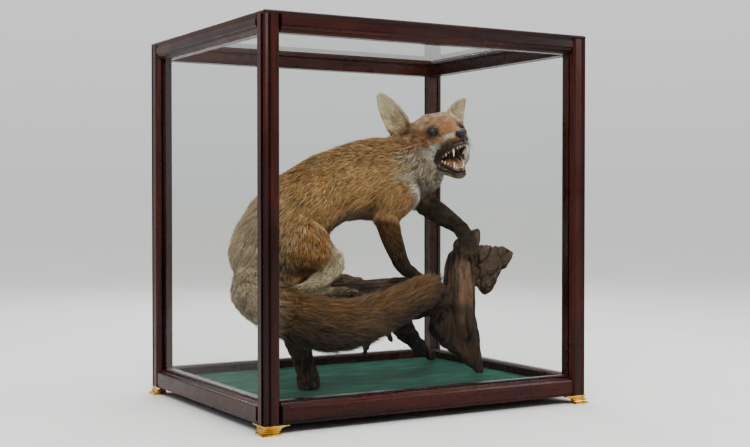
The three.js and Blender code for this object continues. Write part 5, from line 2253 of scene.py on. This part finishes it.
    def _lips(self) -> None:
        """Black lips rolled back from the teeth, all round the mouth."""
        half = Craft.smooth_line(UPPER_LIP + LOWER_LIP, 84)
        share = np.linspace(0, 1, len(half))
        loops = []
        for side in (1.0, -1.0):
            line = half * np.array([1.0, side, 1.0])
            thick = 1.6 + 0.5 * np.sin(share * math.pi) + 0.22 * Grain.at(line, 5.0, 33 + int(side))
            out = unit(np.stack([line[:, 0] * 0 + 0.2, line[:, 1] + side * 1e-3, np.zeros(len(line))], 1))
            found = np.array([list(self.skin.find_nearest(place)[0]) for place in HEAD.out(line)])
            found = Craft.smooth_line(found[::3], len(line))
            loops.append(Craft.tube(found, thick * MM * 1.15, thick * MM, HEAD.way(out), 12))
        lips = Craft.joined(loops, "fox_lips")
        worn = step(Grain.layers(HEAD.inside(Craft.corners(lips)), 6.0, 35, 2), 0.0, 0.7) * 0.6
        Craft.tint(lips, linear(30, 25, 25), (linear(62, 50, 46), worn))
        finish = Painted("lip_skin", (0.34, 0.55), 900.0, 0.0004, 0.5, gloss=0.5, wet=0.25, speck=0.2).make()
        Craft.finish(lips, finish, "nose_pad")

    @staticmethod
    def _lower_root(share: float, half: float) -> Point:
        """A place on the lower gum: 0 at the back of the row, 1 at its front."""
        return (-84.0 + 39.0 * share, half, -42.0 - 22.5 * share)

    def _gums(self) -> None:
        """Dark ridged gums that hold the teeth, and the bars of the palate."""
        parts = []
        lower = [self._lower_root(share, half) for share, half in self.lower_gum]
        for row, ups in ((self.upper_gum, (0.0, 0.0, 1.0)), (lower, (0.5, 0.0, 0.87))):
            for side in (1.0, -1.0):
                line = Craft.smooth_line(row, 64) * np.array([1.0, side, 1.0])
                thick = 3.3 + 0.4 * np.sin(np.linspace(0, 26, len(line)))
                parts.append(Craft.tube(HEAD.out(line), thick * MM, thick * MM * 1.1, HEAD.way(ups), 14))
        for number in range(self.palate_bars):
            u = -20.0 - 9.5 * number
            half = float(along([(-78, 22.0), (-45, 16.5), (-20, 10.5)], u))
            drop = float(along([(-78, -30.0), (-60, -23.5), (-20, -16.5)], u))
            bar = [(u - 3.0, -half, drop), (u + 1.5, -half / 2, drop + 0.8), (u - 0.5, 0.0, drop + 1.2),
                   (u + 1.5, half / 2, drop + 0.8), (u - 3.0, half, drop)]
            line = Craft.smooth_line(bar, 24)
            wide = np.full(len(line), 1.5 * MM)
            parts.append(Craft.tube(HEAD.out(line), wide, wide * 1.1, HEAD.way((0, 0, 1)), 8))
        gums = Craft.joined(parts, "fox_gums")
        stain = step(Grain.layers(HEAD.inside(Craft.corners(gums)), 9.0, 45, 2), -0.2, 0.5) * 0.75
        Craft.tint(gums, linear(74, 43, 38), (linear(34, 24, 23), stain))
        finish = Painted("gum_flesh", (0.3, 0.5), 700.0, 0.0004, 0.4, gloss=0.5, wet=0.4, speck=0.15).make()
        Craft.finish(gums, finish, "tongue")

    def _tooth(self, root: np.ndarray, way: np.ndarray, tooth: Tooth, inner: np.ndarray) -> Thing:
        """One tooth from its gum to its tip.

        Args:
            root: the middle of its base, in head mm.
            way: the direction that it points in.
            tooth: its size and kind.
            inner: the direction along the row.

        Returns:
            Its mesh.
        """
        way = unit(way)
        row = unit(inner - way * (inner @ way))
        cross = np.cross(way, row)
        fang, cusped = tooth.length > self.fang_length, tooth.cusps > 1
        sharp = 2.6 if fang else 3.0
        thick = 0.72 if fang else 0.5 if cusped else 0.62

        def shape(points: np.ndarray) -> np.ndarray:
            """Takes the unit sphere's points to the tooth.

            Args:
                points: one place a row.

            Returns:
                The places on the tooth.
            """
            share = (points[:, 2] + 1.0) / 2.0
            taper = np.sqrt(np.clip(1.0 - share**sharp, 0, 1)) * (1.0 - 0.35 * share)
            ring = unit(points[:, :2])
            place = np.outer(share * (tooth.length + 2.5) - 2.5, way)
            wide = ring[:, :1] * taper[:, None] * (row * tooth.half)
            deep = ring[:, 1:] * taper[:, None] * cross * (tooth.half * thick)
            place += wide + deep
            if cusped:
                edge = ring[:, 0] * taper
                notch = 0.3 * tooth.length * share * np.abs(edge) * (1 - 0.35 * np.cos(edge * 9.5))
                place -= notch[:, None] * way
            if fang:
                place -= np.outer(0.14 * tooth.length * share**2, row)
            return HEAD.out(root + place)

        return Craft.shaped(18, 14, shape)

    def _teeth(self) -> None:
        """Incisors, canines and cusped cheek teeth on both sides, worn to ivory."""
        finish = Painted("enamel", (0.18, 0.3), 500.0, 0.0001, 0.1, gloss=0.5, wet=0.5, speck=0.06).make()
        for name, teeth in (("upper", self.upper), ("lower", self.lower)):
            made = []
            for tooth in teeth:
                for side in (1.0, -1.0):
                    if name == "upper":
                        ahead, half = tooth.place
                        root = np.array([ahead, side * half, float(along(self.gum_line, ahead))])
                        way = np.array([0.04, 0.05 * side, -1.0])
                    else:
                        way = np.array([0.5, -0.04 * side, 0.87])
                        root = np.array(self._lower_root(*tooth.place))
                        root = root * np.array([1.0, side, 1.0]) + way * 2.2
                    front = tooth.half < self.front_half
                    row = np.array([0.25, side, 0.0]) if front else np.array([1.0, -0.2 * side, 0.0])
                    made.append(self._tooth(root, way, tooth, row))
            whole = Craft.joined(made, f"fox_{name}_teeth")
            ahead, _, up = HEAD.inside(Craft.corners(whole)).T
            if name == "upper":
                clear = along(self.gum_line, ahead) - 1.5 - up
            else:
                clear = (up - self._lower_root((ahead + 84.0) / 39.0, 0.0)[2]) * 0.6
            stain = (1.0 - step(clear, 0.0, 5.0)) * 0.85
            Craft.tint(whole, linear(210, 196, 166), (linear(122, 90, 60), stain))
            Craft.finish(whole, finish, "enamel", [f"fox_teeth_{name}"])

    @staticmethod
    def _tongue() -> None:
        """A dry tan tongue with a groove down its middle."""
        stations = [(-90, -41, 12, 8), (-80, -44, 13.2, 8), (-68, -47.5, 13.2, 7.4), (-58, -51, 12, 6.4),
                    (-50, -54.5, 9.8, 5.2), (-45, -57, 7.0, 3.8)]
        ahead, height, side, deep = Craft.smooth_line(stations, 40).T
        middle = np.stack([ahead, np.zeros(len(ahead)), height], 1)
        tongue = Craft.tube(HEAD.out(middle), side * MM, deep * MM, HEAD.way((0.45, 0.0, 0.9)), 40)
        head = HEAD.inside(Craft.corners(tongue))
        top = step(head[:, 2] - np.interp(head[:, 0], ahead, height), 0.0, 4.0)
        groove = 2.6 * np.exp(-((head[:, 1] / 3.0) ** 2)) * top
        edge = 1.6 * step(np.abs(head[:, 1]), 7, 14) * top
        head[:, 2] += edge - groove + 0.35 * Grain.layers(head, 5.0, 81, 2) * top
        Craft.move(tongue, HEAD.out(head))
        tongue = Craft.joined([tongue], "fox_tongue_flesh")
        mottle = step(Grain.layers(head, 8.0, 82, 3), -0.1, 0.5) * 0.6
        # painted shade: darker down the groove
        sunk = step(groove, 0.8, 2.4) * 0.5
        Craft.tint(tongue, linear(164, 118, 88), (linear(122, 84, 62), mottle), (linear(100, 66, 50), sunk))
        flesh = Painted("tongue_flesh", (0.38, 0.55), 1300.0, 0.0004, 0.7, gloss=0.45, wet=0.2, speck=0.15)
        Craft.finish(tongue, flesh.make(), "tongue", ["fox_tongue"])

    @staticmethod
    def _whiskers() -> None:
        """Long fine whiskers swept back from their dark beds, four rows of four a side."""
        dice = np.random.default_rng(5)
        share = np.linspace(0, 1, 8)[:, None]
        thick = np.linspace(0.26, 0.05, 8) * MM
        hairs = []
        for side, row, number in np.ndindex(2, 4, 4):
            out = 1.0 - 2.0 * side
            up = -4.0 - 2.8 * row + 0.4 * number
            root = np.array([-19.0 - 6.5 * number, out * (15.0 + 1.6 * number), up])
            reach = dice.uniform(26, 44)
            way = unit(np.array([-0.75, out * 0.75, -0.05 - 0.16 * row + dice.normal(0, 0.06)]))
            bend = unit(np.array([-0.9, out * 0.1, -0.35 + dice.normal(0, 0.1)]))
            line = root + way * reach * share + bend * reach * 0.28 * share**2
            hairs.append(Craft.tube(HEAD.out(line), thick, thick, HEAD.way((0.1, 0.2, 1.0)), 5))
        whole = Craft.joined(hairs, "fox_whiskers")
        shade = step(Grain.at(HEAD.inside(Craft.corners(whole)), 14.0, 6), -0.2, 0.4)
        Craft.tint(whole, linear(30, 24, 20), (linear(120, 108, 92), shade))
        Craft.finish(whole, Painted("whisker", (0.35, 0.5), 600.0, 0.0001, 0.1).make(), "coat_dark")


@dataclass
class Claws:
    """Four dark curved claws on each paw."""

    half_paw: float = 18.0
    half_draped_paw: float = 19.0
    drop: float = 11.0
    length: float = 11.5
    spreads: tuple[tuple[float, float], ...] = ((-0.78, -3.0), (-0.28, 4.0), (0.28, 4.0), (0.78, -3.0))
    radii: tuple[float, ...] = (1.9, 2.2, 2.2, 2.0, 1.8, 1.5, 1.15, 0.75, 0.3)

    def build(self) -> None:
        """Makes all the claws as one piece."""
        made = []
        share = np.linspace(0, 1, len(self.radii))[:, None]
        thick = np.array(self.radii) * MM
        for flesh in BODY:
            if flesh.coat is not Coat.PAW:
                continue
            behind, end = np.array(flesh.line[-2:], float)
            half = self.half_draped_paw if flesh.node == "fox_fore_left_paw" else self.half_paw
            ahead = unit(end - behind)
            across = unit(np.cross(ahead, [0.0, 0.0, 1.0]))
            for spread, reach in self.spreads:
                middle = end + across * spread * half + ahead * (reach - 4.0)
                middle[2] -= self.drop * 0.2
                line = middle + ahead * 5.0 + ahead * self.length * share
                line = line - np.array([0, 0, 1.0]) * self.drop * (0.42 * share**2 + 0.06)
                made.append(Craft.tube(placed(line), thick * 0.75, thick, (0, 0, 1.0), 12))
        claws = Craft.joined(made, "fox_claws")
        pale = step(Grain.at(in_case(Craft.corners(claws)), 6.0, 3), -0.2, 0.8) * 0.7
        Craft.tint(claws, linear(48, 38, 32), (linear(104, 86, 68), pale))
        horn = Painted("claw_horn", (0.25, 0.4), 500.0, 0.0002, 0.2, wet=0.3)
        Craft.finish(claws, horn.make(), "coat_dark")


# ---------------------------------------------------------------- the studio


@dataclass(frozen=True)
class Lamp:
    """One soft square lamp: where it hangs, its side in metres and its power in watts."""

    name: str
    place: Point
    size: float
    power: float

    def hang(self, aim: Vector) -> None:
        """Hangs it.

        Args:
            aim: where it points.
        """
        lamp = bpy.data.objects.new(self.name, bpy.data.lights.new(self.name, "AREA"))
        lamp.data.energy = self.power
        lamp.data.size = self.size
        lamp.location = self.place
        lamp.rotation_euler = (aim - Vector(self.place)).to_track_quat("-Z", "Y").to_euler()
        bpy.context.scene.collection.objects.link(lamp)


@dataclass
class Studio:
    """A plain pale floor, soft light and the camera."""

    camera_at: Point = (-1.232, -2.164, 0.400)
    camera_turn: Point = (88.91, 0.0, -30.2)
    lens: float = 59.28
    film_width: float = 36.0
    floor_size: float = 240.0
    sky: tuple[float, float] = (0.63, 1.06)
    aim: Point = (0.05, 0.0, 0.38)
    lamps: tuple[Lamp, ...] = (
        Lamp("key", (-1.5, -2.3, 2.3), 1.3, 76.0),
        Lamp("fill", (2.3, -1.6, 1.7), 1.6, 28.0),
        Lamp("top", (0.2, 0.3, 2.6), 1.2, 22.0),
        Lamp("rim", (0.9, 2.3, 1.9), 1.2, 24.0),
    )

    def build(self) -> None:
        """Sets the floor, the camera and the lights."""
        bpy.ops.object.select_all(action="DESELECT")
        bpy.ops.mesh.primitive_plane_add(size=self.floor_size, location=(0, 0, 0))
        floor = bpy.context.active_object
        floor.name = "studio_floor"
        floor.data.materials.append(Backdrop().make())
        self._camera()
        self._sky()
        bpy.context.scene.view_settings.look = "AgX - Medium High Contrast"
        for lamp in self.lamps:
            lamp.hang(Vector(self.aim))

    def _camera(self) -> None:
        """Places the camera."""
        camera = bpy.data.objects.new("camera", bpy.data.cameras.new("camera"))
        camera.location = self.camera_at
        camera.rotation_euler = [math.radians(value) for value in self.camera_turn]
        camera.data.lens = self.lens
        camera.data.sensor_width = self.film_width
        camera.data.clip_start = 0.02
        camera.data.clip_end = 200.0
        bpy.context.scene.collection.objects.link(camera)
        bpy.context.scene.camera = camera

    def _sky(self) -> None:
        """Soft light from all round, stronger from above."""
        world = bpy.data.worlds.new("soft_light")
        world.use_nodes = True
        tree = world.node_tree
        way = tree.nodes.new("ShaderNodeSeparateXYZ")
        tree.links.new(tree.nodes.new("ShaderNodeTexCoord").outputs["Generated"], way.inputs[0])
        fade = tree.nodes.new("ShaderNodeValToRGB")
        tree.links.new(way.outputs["Z"], fade.inputs["Fac"])
        for element, share, grey in zip(fade.color_ramp.elements, (0.0, 0.6), self.sky):
            element.position = share
            element.color = (grey, grey, grey * 1.01, 1.0)
        tree.links.new(fade.outputs["Color"], tree.nodes["Background"].inputs["Color"])
        bpy.context.scene.world = world


def main() -> None:
    """Builds the studio, the case, the driftwood and the fox, and keeps the model's size."""
    logging.basicConfig(level=logging.INFO, format="%(message)s")
    Studio().build()
    Showcase().dress()
    Driftwood().build()
    skin = Skin().build()
    Pelt().build(skin)
    FaceParts().build(skin)
    Claws().build()


if __name__ == "__main__":
    main()
